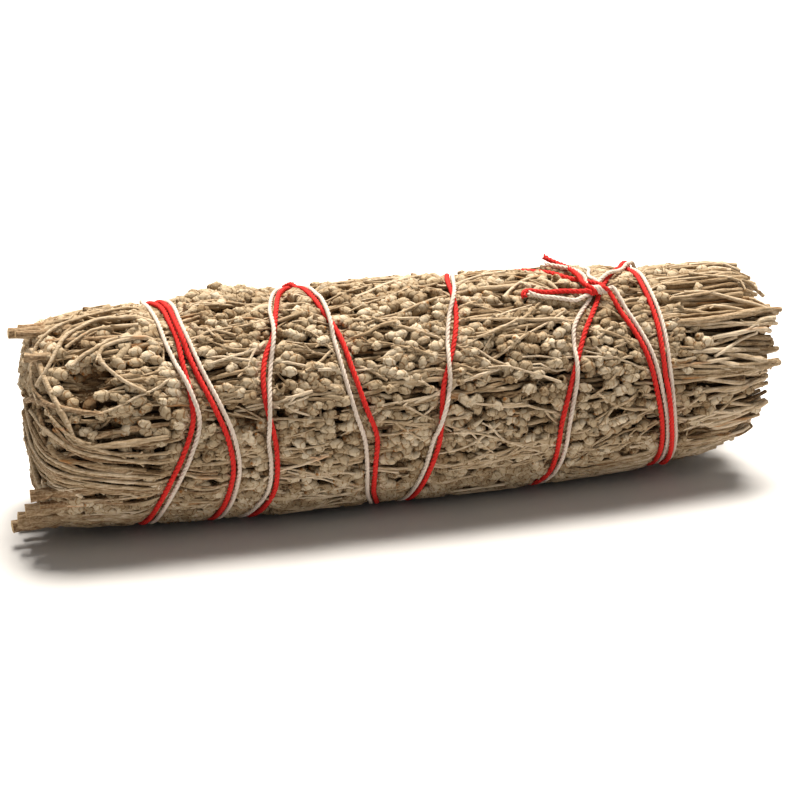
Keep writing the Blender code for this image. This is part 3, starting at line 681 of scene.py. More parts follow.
def growTree():
    tree, given = geometryTree("growSprig", {
        "Sides": "Int", "Kinds": "Collection", "Stem Finish": "Material", "Bud Finish": "Material"})
    isBud = named(tree, "isBud", "BOOLEAN")
    thickness = named(tree, "thickness", "FLOAT")
    aim = named(tree, "aim", "FLOAT_VECTOR")
    facing = named(tree, "facing", "FLOAT_VECTOR")
    kind = named(tree, "kind", "INT")
    buds = tree.add("GeometryNodeSeparateGeometry", {0: given["Geometry"], 1: isBud})
    lines = Wire(tree, buds.socket.node.outputs[1])
    curves = tree.add("GeometryNodeMeshToCurve", {0: lines})
    ring = tree.add("GeometryNodeCurvePrimitiveCircle", {"Resolution": given["Sides"], "Radius": 1.0})
    tubes = tree.add("GeometryNodeCurveToMesh", {0: curves, 1: ring, "Scale": thickness, "Fill Caps": True})
    aimed = tree.add("FunctionNodeAlignRotationToVector", {2: aim}, axis="Z")
    faced = tree.add("FunctionNodeAlignRotationToVector", {0: aimed, 2: facing}, axis="Y", pivot_axis="Z")
    shapes = tree.add("GeometryNodeCollectionInfo", {0: given["Kinds"], 1: True})
    size = tree.add("ShaderNodeCombineXYZ", {0: thickness, 1: thickness, 2: thickness})
    copies = tree.add("GeometryNodeInstanceOnPoints", {
        0: buds, "Instance": shapes, "Pick Instance": True, "Instance Index": kind, "Rotation": faced,
        "Scale": size})
    joined = tree.add("GeometryNodeJoinGeometry", {0: [tubes, copies]})
    real = tree.add("GeometryNodeRealizeInstances", {0: joined})
    smooth = tree.add("GeometryNodeSetShadeSmooth", {0: real})
    stems = tree.add("GeometryNodeSetMaterial", {0: smooth, 2: given["Stem Finish"]})
    done = tree.add("GeometryNodeSetMaterial", {0: stems, 1: isBud, 2: given["Bud Finish"]})
    tree.add("NodeGroupOutput", {0: done})
    return tree


sprigTree = growTree()
growing = {"stemSides": 6, "nearCut": 0.04}


class Growth:  # what grows in one piece: lines for the stems, and points for the buds and leaves
    def __init__(self):
        self.lines, self.buds = [], []

    def line(self, points, radii, tone, bark=0.0, cutStart=False, cutEnd=False):
        points = np.asarray(points, float)
        radii = np.broadcast_to(radii, len(points)).astype(float)
        ends = np.zeros(len(points))
        # A second point close to a cut end keeps the pith's colour on the cut
        if cutStart:
            near = points[0] + (points[1] - points[0]) * growing["nearCut"]
            points = np.vstack((points[:1], [near], points[1:]))
            radii, ends = np.append(radii[0], radii), np.append(1, ends)
        if cutEnd:
            near = points[-1] + (points[-2] - points[-1]) * growing["nearCut"]
            points = np.vstack((points[:-1], [near], points[-1:]))
            radii, ends = np.append(radii, radii[-1]), np.append(ends, 1)
        self.lines.append((points, radii, tone, bark, ends))

    def bud(self, point, aim, facing, size, tone, kind):
        self.buds.append((point, aim, facing, size, tone, kind))

    def mesh(self, name):
        buds = len(self.buds)
        points = np.vstack([line[0] for line in self.lines] + [[bud[0]] for bud in self.buds])
        total = len(points)
        starts = np.cumsum([0] + [len(line[0]) for line in self.lines])
        edges = np.concatenate([np.stack((np.arange(a, b - 1), np.arange(a + 1, b)), axis=1)
                                for a, b in zip(starts, starts[1:])])
        mesh = bpy.data.meshes.new(name)
        mesh.from_pydata((points * mm).tolist(), edges.tolist(), [])
        blank, isBud = np.zeros(buds), np.arange(total) >= total - buds

        def alongLines(part):
            return [np.broadcast_to(line[part], len(line[0])) for line in self.lines]

        single = {
            "thickness": np.concatenate(alongLines(1) + [[bud[3] for bud in self.buds]]) * mm,
            "tone": np.concatenate(alongLines(2) + [[bud[4] for bud in self.buds]]),
            "bark": np.concatenate(alongLines(3) + [blank]),
            "cutEnd": np.concatenate(alongLines(4) + [blank]),
        }
        for title, data in single.items():
            mesh.attributes.new(title, "FLOAT", "POINT").data.foreach_set("value", data)
        kinds = np.zeros(total, int)
        vectors = np.zeros((2, total, 3))
        if buds:
            kinds[isBud] = [bud[5] for bud in self.buds]
            vectors[:, isBud] = [[bud[part] for bud in self.buds] for part in (1, 2)]
        mesh.attributes.new("kind", "INT", "POINT").data.foreach_set("value", kinds)
        mesh.attributes.new("isBud", "BOOLEAN", "POINT").data.foreach_set("value", isBud)
        for title, data in zip(("aim", "facing"), vectors):
            mesh.attributes.new(title, "FLOAT_VECTOR", "POINT").data.foreach_set("vector", data.ravel())
        return mesh


def growPiece(name, growth, node):
    piece = runTree(name, growth.mesh(name), sprigTree, {
        "Sides": growing["stemSides"], "Kinds": kindCollection, "Stem Finish": stemFinish,
        "Bud Finish": budFinish})
    for title in ("thickness", "aim", "facing", "kind", "isBud"):
        if title in piece.data.attributes:
            piece.data.attributes.remove(piece.data.attributes[title])
    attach(piece, "root")
    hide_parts(node)
    print(name, len(growth.lines), "stems", len(growth.buds), "buds", len(piece.data.polygons), "faces")


# The pile: each stem, bud and leaf is laid on what lies below it, and is pressed into it a little

pile = {
    "start": -112.0, "end": 98.0, "cell": 0.4, "columns": 420, "bottom": 4.7, "top": 0.1, "step": 0.5,
    "stemSlack": 0.35, "budSlack": 42, "budPress": 1.5,
    "probed": (-0.85, 0.85, 5), "covered": (-0.95, 0.95, 7),  # strips along a stem, as shares of its radius
    "leastWindow": 5, "meanWindow": 17, "smoothWindow": 7,
    "underCosine": -0.6, "aboveLeast": -0.2, "underLeast": 0.25, "underTilt": 0.05,
}
pileTop = np.full((int((pile["end"] - pile["start"]) / pile["cell"]), pile["columns"]), pile["bottom"])


def pileCells(run, angle):
    row = ((np.asarray(run) - pile["start"]) / pile["cell"]).astype(int)
    column = (np.asarray(angle) * pile["columns"] / 360).astype(int) % pile["columns"]
    return np.clip(row, 0, len(pileTop) - 1), column


def widened(values, size, pick):  # the least of, or a smooth mean over, a window along a route
    size = min(size, len(values) // 2 * 2 - 1) | 1
    padded = np.pad(values, size // 2, mode="edge")
    windows = np.lib.stride_tricks.sliding_window_view(padded, size)
    if pick == "least":
        return windows.min(axis=1)
    weights = np.hanning(size + 2)[1:-1]
    return windows @ (weights / weights.sum())


def underneath(angle):  # nothing stands up there, towards the floor
    return math.cos(math.radians(angle)) < pile["underCosine"]


def layStem(run, angle, radius):  # centre depths of a stem laid along a route of half millimetre steps
    free = []
    for share in np.linspace(*pile["probed"]):
        cells = pileCells(run, angle + sideways(share * radius, run))
        free.append(pileTop[cells] - radius * math.sqrt(1 - share**2))
    depth = widened(np.min(free, axis=0), pile["leastWindow"], "least")
    return widened(depth, pile["meanWindow"], "mean") + pile["stemSlack"] * radius


def raisePile(run, angle, depth, radius):
    for share in np.linspace(*pile["covered"]):
        cells = pileCells(run, angle + sideways(share * radius, run))
        np.minimum.at(pileTop, cells, depth - radius * math.sqrt(1 - share**2))


def surfaceRoute(points):  # a smooth route of half millimetre steps through a few (run, angle) places
    points = np.array(points, float)
    at = np.append(0, np.cumsum(np.linalg.norm(np.diff(onBunch(*points.T, 1.0), axis=0), axis=1)))
    slopes = np.gradient(points, at, axis=0)
    dense = np.linspace(0, at[-1], max(6, int(at[-1] / pile["step"])))
    i = np.clip(np.searchsorted(at, dense, side="right") - 1, 0, len(at) - 2)
    span = (at[i + 1] - at[i])[:, None]
    t = (dense - at[i])[:, None] / span
    route = (points[i] * (1 + 2 * t) * (1 - t) ** 2 + slopes[i] * span * t * (1 - t) ** 2
             + points[i + 1] * t * t * (3 - 2 * t) - slopes[i + 1] * span * t * t * (1 - t))
    return route.T


budFootprint = np.array([(u, v) for u in np.linspace(-0.9, 0.9, 9) for v in np.linspace(-0.85, 0.85, 7)
                         if u * u + v * v < 0.9])
budHeights = np.sqrt(1 - (budFootprint**2).sum(axis=1))


def layBud(growth, rng, run, angle, heading, direction, tilt, size, tone, kind):
    wide = size * (leafShapes["laidWidth"] if kind >= firstLeaf else budShapes["thickness"])
    along, across = budFootprint[:, 0] * size / 2, budFootprint[:, 1] * wide
    cosine, sine = math.cos(direction), math.sin(direction)
    least = pile["top"] + pile["aboveLeast"]
    if underneath(angle):
        tilt, least = min(tilt, pile["underTilt"]), pile["top"] + pile["underLeast"]
    runs = run + heading * (along * cosine - across * sine)
    angles = angle + sideways(along * sine + across * cosine, runs)
    cells = pileCells(runs, angles)
    depth = np.percentile(pileTop[cells] - budHeights * wide, pile["budSlack"])
    if depth < wide + pile["top"] - pile["budPress"]:
        return None
    depth = float(belowAll(run, angle, max(depth, wide + least), wide))
    np.minimum.at(pileTop, cells, depth - budHeights * wide)
    point = onBunch(run, angle, depth)
    ahead = onBunch(run + heading * cosine * 0.5, angle + sideways(0.5 * sine, run), depth) - point
    out = onBunch(run, angle, depth - 1) - point
    aim = ahead / np.linalg.norm(ahead) * math.cos(tilt) + out * math.sin(tilt)
    base = point - aim * size * 0.5
    # painted shade: a bud's tone is darkened by how deep it lies
    growth.bud(base, aim, out if kind >= firstLeaf else rng.normal(size=3), size, tone - paintedDeepShade(depth), kind)
    return base


def paintedDeepShade(depth):  # painted shade: what lies deep is made darker and browner, for the shade that falls in the gaps between stems
    return 0.13 * np.clip(np.mean(depth) - 1.2, 0, 4)


# Outer sprigs

outer = {
    "seed": 500, "orderSeed": 9, "stemSeed": 77, "topEnds": (-103.0, -84.0),
    # The base stems' near-black tones are painted shade, seen through the gaps
    "base": {"count": 14, "depth": (5.2, 6.6), "radius": (0.9, 1.2), "tone": (0.0, 0.2), "ends": (2, 11),
             "runs": (60.0, 40.0, 20.0, 0.0, -20.0, -40.0, -60.0, -72.0, -80.0, -88.0, -96.0)},
    "stems": {"early": 18, "late": 4, "radius": (0.45, 0.74), "tone": (0.38, 0.78)},
    "cutStems": {"early": 10, "late": 18, "radius": (0.4, 0.72), "length": (14.0, 42.0),
                 "tone": (0.56, 0.94)},
    "twigs": {"count": 25, "radius": (0.28, 0.46), "length": (9.0, 30.0), "slope": (3.0, 30.0),
              "tone": (0.5, 0.9), "proud": (0.2, 0.7), "sink": 0.45, "forked": 0.55, "fork": (14.0, 32.0),
              "runs": (-76, 76), "clip": (-88, 86), "bareRun": -55, "bareAngles": (15, 88)},
    "sprays": {"early": 20, "late": 215, "radius": (0.3, 0.46), "length": (4.0, 12.0), "slope": (1.0, 14.0),
               "tone": (0.4, 0.66), "sink": 0.9, "runs": (-84, 80), "end": 86},
    "folds": {"count": 5, "radius": (0.42, 0.68), "tone": (0.45, 0.75), "bark": 0.6, "barkAbove": 0.65},
    "leaves": {"count": 9, "size": (5.0, 9.0), "tone": (0.4, 0.75), "runs": (-80, 76)},
    "fillers": {"count": 26, "depth": (4.5, 10.5), "radius": (0.5, 1.0), "tone": (0.25, 0.6)},
    "budSize": (3.0, 4.1), "budStep": (1.1, 2.1),
    "clusters": {"second": 0.6, "third": 0.35, "turn": 0.3, "lying": 0.9, "lyingTilt": (-0.15, 0.4),
                 "risingTilt": (0.5, 1.1), "closed": 0.94, "tone": (0.42, 0.82), "stalkTone": (0.4, 0.6),
                 "slip": 1.4, "back": 0.6},
    "knots": {"share": 0.13, "swell": 0.28, "spurs": 0.45, "spur": (0.8, 2.0), "rise": 0.35,
              "underRise": -0.2},
    "shadeFadeRuns": (50, 68), "shadeFadeShare": 0.3,  # the painted depth shade is lighter at the cut end, where the spread stems leave deep gaps
}
anyDepth = -9  # for a stem that is laid even where the pile is full
stemRandom = np.random.default_rng(outer["stemSeed"])


def addStem(growth, route, radius, tone, bark=0.0, taper=0.75, least=-0.15, sink=0.0, proud=0.0):
    run, angle = route
    depth = layStem(run, angle, radius) + sink
    if np.mean(depth) < radius + pile["top"] + least + sink * 0.6:  # no room left here
        return None
    if proud:
        level = radius + pile["top"] - proud
        depth = np.maximum(depth, level) if sink else level
        depth = np.maximum(depth, belowString(gridCell(run, angle), radius))
        depth = widened(depth, pile["smoothWindow"], "mean")
    else:
        depth = widened(belowAll(run, angle, depth, radius), pile["smoothWindow"], "mean")
        depth = np.maximum(depth, radius + pile["top"])
    raisePile(run, angle, depth, radius)
    keep = np.unique(np.append(np.arange(0, len(run), 4), len(run) - 1))
    knots = outer["knots"]
    swollen = stemRandom.random(len(keep)) < knots["share"]
    radii = radius * np.linspace(1.0, taper, len(keep)) * (1 + stemRandom.normal(0, 0.08, len(keep)))
    radii = radii * (1 + knots["swell"] * swollen)
    points = onBunch(run[keep], angle[keep], depth[keep])
    # painted shade: the stem's tone is darkened by its depth, less so at the cut end
    paintedShade = paintedDeepShade(depth) * np.interp(np.mean(run), outer["shadeFadeRuns"], (1, outer["shadeFadeShare"]))
    growth.line(points, radii, tone - paintedShade, bark, cutStart=run[0] > 75, cutEnd=run[-1] > 75)
    for i in np.flatnonzero(swollen[:-1]):
        if stemRandom.random() < knots["spurs"]:
            ahead = points[i + 1] - points[i]
            ahead = ahead / max(np.linalg.norm(ahead), 0.01)
            out = onBunch(run[keep[i]], angle[keep[i]], depth[keep[i]] - 1) - points[i]
            aside = np.cross(ahead, out) * stemRandom.uniform(-0.9, 0.9)
            rise = knots["underRise"] if underneath(angle[keep[i]]) else knots["rise"]
            tip = points[i] + (ahead + aside + out * rise) * stemRandom.uniform(*knots["spur"])
            growth.line([points[i], tip], [min(radius * 0.7, 0.36), 0.2], tone - 0.05)
    return depth


# How far the cut ends reach, by the angle from the middle ones: less far towards the floor
cutReach = {
    "middle": 20, "angles": (0, 45, 60, 90, 120, 150, 180), "runs": (93, 92.5, 90, 88.5, 84.5, 81, 84),
}


def cutLimit(angle):
    away = abs((angle - cutReach["middle"] + 180) % 360 - 180)
    return float(np.interp(away, cutReach["angles"], cutReach["runs"]))


def longRoute(rng, index, start, end, drift):
    count = max(4, int(abs(end - start) / 14))
    t = np.linspace(0, 1, count + 1)
    run = start + (end - start) * t
    share = rng.uniform(-0.1, 1.1)
    share = np.clip(share + rng.uniform(-drift, drift) * t, -0.15, 1.15)
    angle = insideSprig(index, run, share) + sideways(rng.normal(0, 0.45, count + 1), run)
    return surfaceRoute(np.stack((run, angle), axis=-1))


def layBase(rng, growth, index):  # thick stems below the others, near black as painted shade inside the bunch
    base = outer["base"]
    for k in range(base["count"]):
        share = (k + rng.random()) / base["count"]
        end = cutLimit(sprigMiddle(index)) - rng.uniform(*base["ends"])
        run = np.array([end, *base["runs"]])
        angle = insideSprig(index, run, share) + sideways(rng.normal(0, 0.5, len(run)), run)
        points = onBunch(run, angle, rng.uniform(*base["depth"]))
        growth.line(points, rng.uniform(*base["radius"]), rng.uniform(*base["tone"]), cutStart=True)


def layLong(rng, growth, index):
    stems = outer["stems"]
    limit = cutLimit(sprigMiddle(index))
    start = limit - 9 * rng.random() ** 1.6 if rng.random() < 0.6 else rng.uniform(-40, 70)
    end = rng.uniform(*outer["topEnds"]) if rng.random() < 0.45 else start - rng.uniform(40, 110)
    end = max(end, outer["topEnds"][0])
    if rng.random() < 0.2 and start < 70:
        start, end = end, start
    radius = rng.uniform(*stems["radius"])
    route = longRoute(rng, index, start, end, 0.35)
    addStem(growth, route, radius, rng.uniform(*stems["tone"]), taper=0.6)


def layCutStem(rng, growth, index):  # a shorter stem that ends at the cut end and slants a little
    stems = outer["cutStems"]
    start = cutLimit(sprigMiddle(index)) - 10 * rng.random() ** 1.5
    route = longRoute(rng, index, start, start - rng.uniform(*stems["length"]), 0.6)
    addStem(growth, route, rng.uniform(*stems["radius"]), rng.uniform(*stems["tone"]), taper=0.6)


# The chance of a spray of buds. They crowd along the middle, and are fewer at both ends, below, and where
# stems sweep round the folded end
room = {
    "topEnd": -98, "topLength": 30, "topLeast": 0.3, "cutEnd": 86, "cutLength": 42, "cutLeast": 0.25,
    "sweptRun": -52, "sweptAngles": (62, 118), "swept": 0.3, "lowAngle": 120, "lowWidth": 30, "lowLoss": 0.35,
}


def budRoom(run, angle):
    if run < room["sweptRun"] and room["sweptAngles"][0] < angle % 360 < room["sweptAngles"][1]:
        return room["swept"]
    ends = np.clip((run - room["topEnd"]) / room["topLength"], room["topLeast"], 1)
    ends = ends * np.clip((room["cutEnd"] - run) / room["cutLength"], room["cutLeast"], 1)
    low = np.clip((abs((angle + 180) % 360 - 180) - room["lowAngle"]) / room["lowWidth"], 0, 1)
    return ends * (1 - room["lowLoss"] * low)


def layCluster(rng, growth, run, angle, heading, direction, stemPoint, radius):
    clusters = outer["clusters"]
    for _ in range(1 + (rng.random() < clusters["second"]) + (rng.random() < clusters["third"])):
        turn = direction + rng.normal(0, clusters["turn"])
        tilt = rng.uniform(*clusters["lyingTilt" if rng.random() < clusters["lying"] else "risingTilt"])
        if rng.random() < clusters["closed"]:
            kind = int(rng.integers(firstHusk))
        else:
            kind = firstHusk + int(rng.integers(budShapes["husks"]))
        size, tone = rng.uniform(*outer["budSize"]), rng.uniform(*clusters["tone"])
        base = layBud(growth, rng, run, angle, heading, turn, tilt, size, tone, kind)
        if base is not None:
            middle = (stemPoint + base) / 2 + (base - stemPoint)[[1, 0, 2]] * (0, 0, 0.1)
            stalk = [stemPoint, middle, base + (base - middle) * 0.2]
            radii = [radius, radius * 0.8, radius * 0.9]
            growth.line(stalk, radii, rng.uniform(*clusters["stalkTone"]))
        slip = rng.normal(0, clusters["slip"], 2)
        run, angle = run + slip[0] - heading * clusters["back"], angle + float(sideways(slip[1], run))


def laySpray(rng, growth, index):
    sprays = outer["sprays"]
    heading = -1 if rng.random() < 0.8 else 1
    share = rng.uniform(0.04, 0.96)
    run = rng.uniform(*sprays["runs"])
    angle = float(insideSprig(index, run, share))
    if rng.random() > budRoom(run, angle):
        return
    length = rng.uniform(*sprays["length"])
    if heading > 0:
        length = min(length, sprays["end"] - run)
    side = 1 if rng.random() > share else -1
    slope = side * math.radians(rng.uniform(*sprays["slope"]))
    t = np.linspace(0, 1, 4)
    runs = run + heading * length * t * math.cos(slope)
    across = length * math.sin(slope) * (t + rng.uniform(-0.45, 0.3) * t * (1 - t))
    route = surfaceRoute(np.stack((runs, angle + sideways(across, runs)), axis=-1))
    radius = rng.uniform(*sprays["radius"])
    depth = addStem(growth, route, radius, rng.uniform(*sprays["tone"]), taper=0.7, sink=sprays["sink"])
    if depth is None:
        return
    run, angle = route
    at, side = rng.uniform(2.0, 5.0), rng.choice((-1, 1))
    while at < len(run) * pile["step"] - 1:
        i = min(int(at / pile["step"]), len(run) - 1)
        ahead = min(i + 3, len(run) - 1)
        off = rng.uniform(0.6, 1.5)
        budRun = run[ahead] + heading * rng.uniform(0.5, 1.6)
        budAngle = angle[ahead] + side * float(sideways(off, budRun))
        layCluster(rng, growth, budRun, budAngle, heading, slope + side * rng.uniform(0.2, 0.8),
                   onBunch(run[i], angle[i], depth[i]), radius * 0.8)
        at += rng.uniform(*outer["budStep"])
        side = -side
    layCluster(rng, growth, run[-1] + heading * 1.0, angle[-1], heading, slope,
               onBunch(run[-1], angle[-1], depth[-1]), radius * 0.7)


def layFold(rng, growth, index):  # a stem that turns back over the -X end
    folds = outer["folds"]
    share = rng.uniform(0.1, 0.9)
    width = rng.choice((-1, 1)) * rng.uniform(14, 55)
    reachIn = rng.uniform(-100, -80)
    t = np.linspace(0, 1, 8)
    start = rng.uniform(-66, -52)
    run = start + (reachIn - start) * np.sin(math.pi * t) ** 0.7
    bow = np.sin(2 * math.pi * t) / (2 * math.pi) * 0.55
    angle = float(insideSprig(index, -60.0, share)) + width * (t - bow)
    route = surfaceRoute(np.stack((run, angle - width * 0.5), axis=-1))
    radius, tone = rng.uniform(*folds["radius"]), rng.uniform(*folds["tone"])
    addStem(growth, route, radius, tone, folds["bark"] * (share > folds["barkAbove"]), taper=0.8)


def twigRoute(rng, run, angle, heading, slope, length, bow):
    count = max(4, int(length / 4))
    t = np.linspace(0, 1, count + 1)
    runs = np.clip(run + heading * length * t * math.cos(slope), *outer["twigs"]["clip"])
    across = length * math.sin(slope) * (t + bow * t * (1 - t)) + rng.normal(0, 0.28, count + 1) * (t > 0)
    return surfaceRoute(np.stack((runs, angle + sideways(across, runs)), axis=-1))


def layTwig(rng, growth, index):  # a thin twig that slants over the buds, and may fork
    twigs = outer["twigs"]
    run = rng.uniform(*twigs["runs"])
    angle = float(insideSprig(index, run, rng.random()))
    heading = -1 if rng.random() < 0.75 else 1
    low, high = twigs["bareAngles"]
    if run < twigs["bareRun"] and low < angle < high:  # the folded end's own stems show here
        return
    slope = rng.choice((-1, 1)) * math.radians(rng.uniform(*twigs["slope"]))
    length, radius, tone = [rng.uniform(*twigs[title]) for title in ("length", "radius", "tone")]
    proud = rng.uniform(*twigs["proud"]) if math.cos(math.radians(angle)) > -0.3 else 0.02
    route = twigRoute(rng, run, angle, heading, slope, length, rng.uniform(-1.2, 1.2))
    lying = {"taper": 0.6, "least": anyDepth, "sink": twigs["sink"], "proud": proud}
    addStem(growth, route, radius, tone, **lying)
    if rng.random() < twigs["forked"]:
        i = int(len(route[0]) * rng.uniform(0.25, 0.65))
        turn = rng.choice((-1, 1)) * math.radians(rng.uniform(*twigs["fork"]))
        length *= rng.uniform(0.3, 0.6)
        branch = twigRoute(rng, route[0][i], route[1][i], heading, slope + turn, length, 0.4)
        addStem(growth, branch, radius * 0.8, tone, **lying)


def layLeaf(rng, growth, index):
    leaves = outer["leaves"]
    run = rng.uniform(*leaves["runs"])
    angle = float(insideSprig(index, run, rng.random()))
    heading, direction, tilt = rng.choice((-1, -1, 1)), rng.normal(0, 0.3), rng.uniform(-0.05, 0.1)
    size, tone = rng.uniform(*leaves["size"]), rng.uniform(*leaves["tone"])
    kind = firstLeaf + int(rng.integers(budShapes["leaves"]))
    layBud(growth, rng, run, angle, heading, direction, tilt, size, tone, kind)


def fillCutEnd(rng, growth, index):  # cut stems inside the +X end
    fillers = outer["fillers"]
    for _ in range(fillers["count"]):
        angle = float(insideSprig(index, 76.0, rng.uniform(0.03, 0.97)))
        depth = rng.uniform(*fillers["depth"])
        run = np.array([58.0, 66.0, 74.0, cutLimit(angle) - rng.uniform(0.5, 9)])
        points = onBunch(run, angle + rng.uniform(-3, 3) * np.linspace(0, 1, 4), depth)
        growth.line(points, rng.uniform(*fillers["radius"]), rng.uniform(*fillers["tone"]), cutEnd=True)


# Stems that can be told apart on the front: radius, tone, bark, (run, angle) places. All but the last, a
# thick one at the cut end, are in the folded end.
frontStems = (
    (0.72, 0.70, 0.0, ((-50, 16), (-56, 15), (-64, 11), (-69, 10), (-72, 14), (-76, 20), (-78, 27), (-80, 35),
                       (-82, 41), (-85, 46))),
    (0.55, 0.66, 0.0, ((-60, 20), (-65, 19), (-70, 19), (-73, 23), (-76.5, 29))),
    (0.75, 0.68, 0.0, ((-49, 33), (-55.5, 31), (-63, 28), (-66.5, 28), (-70, 32), (-73.5, 36), (-76, 41))),
    (0.6, 0.72, 0.0, ((-62.5, 29), (-66, 30), (-69, 33), (-70, 38), (-68, 46), (-64.5, 54), (-61, 59))),
    (0.55, 0.6, 0.0, ((-85, 58), (-87, 40), (-85, 25), (-79, 13), (-72, 5), (-62, 1), (-50, 0))),
    (0.95, 0.55, 0.1, ((-86, 12), (-84, 22), (-83, 38), (-81.3, 53), (-79.5, 64), (-78, 73), (-76.8, 80.5),
                       (-75, 84), (-72, 84), (-66, 83.5), (-57, 82))),
    (0.75, 0.68, 0.0, ((-94, 40), (-93.3, 56), (-91, 72), (-86, 86), (-80.5, 92), (-76, 96.5), (-69, 99.5),
                       (-58, 104), (-46, 106))),
    (0.7, 0.64, 0.0, ((-90, 58), (-85, 71), (-81, 78), (-77.3, 84.5), (-71.4, 89.5), (-63.4, 93.5),
                      (-52, 96))),
    (0.5, 0.6, 0.0, ((-83, 62), (-79.5, 74), (-75, 82), (-69, 88), (-60, 90), (-50, 89))),
    (0.55, 0.7, 0.0, ((-96, 60), (-94, 80), (-88, 92), (-80, 98), (-70, 103), (-56, 108))),
    (0.7, 0.6, 0.2, ((-99, 96), (-93, 97), (-87, 99), (-80, 102), (-72, 106), (-61, 110), (-50, 112))),
    (0.8, 0.62, 0.7, ((-93.5, 44), (-91.5, 47), (-86, 54), (-81.7, 60), (-76, 65), (-70.5, 68))),
    (1.15, 0.55, 0.35, ((58, 47), (68, 47), (76, 46), (84, 43.5), (90, 41), (93.5, 41))),
)
frontProud, frontThinned = 0.7, 0.8

# Thin stems that sweep from the folded end down to the right, between these two routes and a little past
sweep = {
    "seed": 61, "count": 22, "uneven": 1.1, "bark": 0.6, "barked": 0.2,
    "radius": (0.28, 0.55), "tone": (0.32, 0.7), "proud": (0.05, 0.7), "spread": (0.0, 1.5),
    "inner": ((-84, 40), (-81.5, 53), (-79.5, 64), (-77.5, 73), (-75, 80), (-66, 83), (-56, 82)),
    "outer": ((-94, 56), (-91, 72), (-86, 86), (-80.5, 92), (-74, 97.5), (-60, 103.5), (-46, 106)),
}


def laySweeps():
    rng = np.random.default_rng(sweep["seed"])
    near, far = np.array(sweep["inner"]), np.array(sweep["outer"])
    for _ in range(sweep["count"]):
        share = rng.uniform(*sweep["spread"])
        places = near + (far - near) * share + rng.normal(0, sweep["uneven"], near.shape)
        first = rng.integers(0, 3)
        growth = growths[sprigAt(places[first][1])]
        route = surfaceRoute(places[first: len(places) - rng.integers(0, 2)])
        radius, tone = rng.uniform(*sweep["radius"]), rng.uniform(*sweep["tone"])
        bark = sweep["bark"] * (rng.random() < sweep["barked"])
        addStem(growth, route, radius, tone, bark, least=anyDepth, proud=rng.uniform(*sweep["proud"]))


# Flower heads that stand up in a low lump on top, between two turns of string
topLump = {
    "run": -39.5, "angle": -9.0, "halfLength": 9.0, "halfWidth": 7.0, "height": 1.5, "buds": 90, "foot": 1.3,
    "above": 0.9, "tone": (0.5, 0.85), "stemTone": (0.4, 0.65),
}


def layTopLump(rng, growth):
    for _ in range(topLump["buds"]):
        u, v = rng.uniform(-1, 1, 2)
        dome = 1 - u * u - v * v
        if dome < 0:
            continue
        run = topLump["run"] + u * topLump["halfLength"]
        angle = topLump["angle"] + float(sideways(v * topLump["halfWidth"], run))
        depth = topLump["foot"] - (topLump["height"] + topLump["above"]) * dome**0.7 * rng.uniform(0.3, 1.0)
        point = onBunch(run, angle, depth)
        aim = onBunch(run - 2, angle + rng.normal(0, 3), depth - rng.uniform(-0.2, 1.0)) - point
        aim /= np.linalg.norm(aim)
        growth.bud(point - aim * 1.6, aim, rng.normal(size=3), rng.uniform(*outer["budSize"]),
                   rng.uniform(*topLump["tone"]), int(rng.integers(firstHusk)))
        root = onBunch(run + rng.uniform(3, 6), angle + rng.normal(0, 2), 1.2)
        growth.line([root, point - aim], [0.4, 0.32], rng.uniform(*topLump["stemTone"]))


# Thick cut stems that stick out past the folded tops: (angle, x of the end, radius)
stubs = {
    "root": -66.0, "rootDepth": 2.0, "lean": -72.0, "leanDepth": 1.0, "steps": 14, "tone": (0.38, 0.58),
    "bark": (0.35, 0.85),
    "places": ((364.0, -87.8, 1.3), (359.0, -85.5, 0.9), (369.0, -86.5, 0.8), (30.0, -85.5, 0.9),
               (113.0, -87.0, 1.3), (121.0, -85.0, 0.9), (127.0, -88.0, 1.5), (136.0, -87.0, 1.0),
               (144.0, -89.5, 1.7), (156.0, -90.5, 1.4), (150.0, -87.0, 0.9), (165.0, -88.0, 1.0),
               (178.0, -88.5, 1.5)),
}


def woodyStub(rng, growth, angle, end, radius):
    steps = stubs["steps"]
    x = np.linspace(stubs["root"], end, steps)
    start = float(pressedFlat(bunchRadius(stubs["root"]), angle)) - radius - stubs["rootDepth"]
    stop = float(pressedFlat(bunchRadius(stubs["lean"]), angle)) - radius - stubs["leanDepth"]
    out = np.linspace(start, stop, steps) + rng.normal(0, 0.1, steps)
    points = place(x, angle + rng.normal(0, 0.35, steps), out)
    radii = radius * (1 + rng.normal(0, 0.09, steps))
    growth.line(points, radii, rng.uniform(*stubs["tone"]), rng.uniform(*stubs["bark"]), cutEnd=True)


growths = [Growth() for _ in range(bunch["sprigs"])]
streams = [np.random.default_rng(outer["seed"] + index) for index in range(bunch["sprigs"])]
for index, (growth, rng) in enumerate(zip(growths, streams)):
    layBase(rng, growth, index)
early = [layLong] * outer["stems"]["early"] + [laySpray] * outer["sprays"]["early"]
early += [layCutStem] * outer["cutStems"]["early"]
late = [layLong] * outer["stems"]["late"] + [laySpray] * outer["sprays"]["late"]
late += [layCutStem] * outer["cutStems"]["late"]
late += [layFold] * outer["folds"]["count"] + [layLeaf] * outer["leaves"]["count"]
last = [layTwig] * outer["twigs"]["count"]
for order in (early, late, last):
    for step in np.random.default_rng(outer["orderSeed"]).permutation(len(order)):
        for index, (growth, rng) in enumerate(zip(growths, streams)):
            order[step](rng, growth, index)
laySweeps()
for radius, tone, bark, places in frontStems:
    growth = growths[sprigAt(places[0][1])]
    addStem(growth, surfaceRoute(places), radius * frontThinned, tone, bark, least=anyDepth, proud=frontProud)
lumpSprig = sprigAt(topLump["angle"])
layTopLump(streams[lumpSprig], growths[lumpSprig])
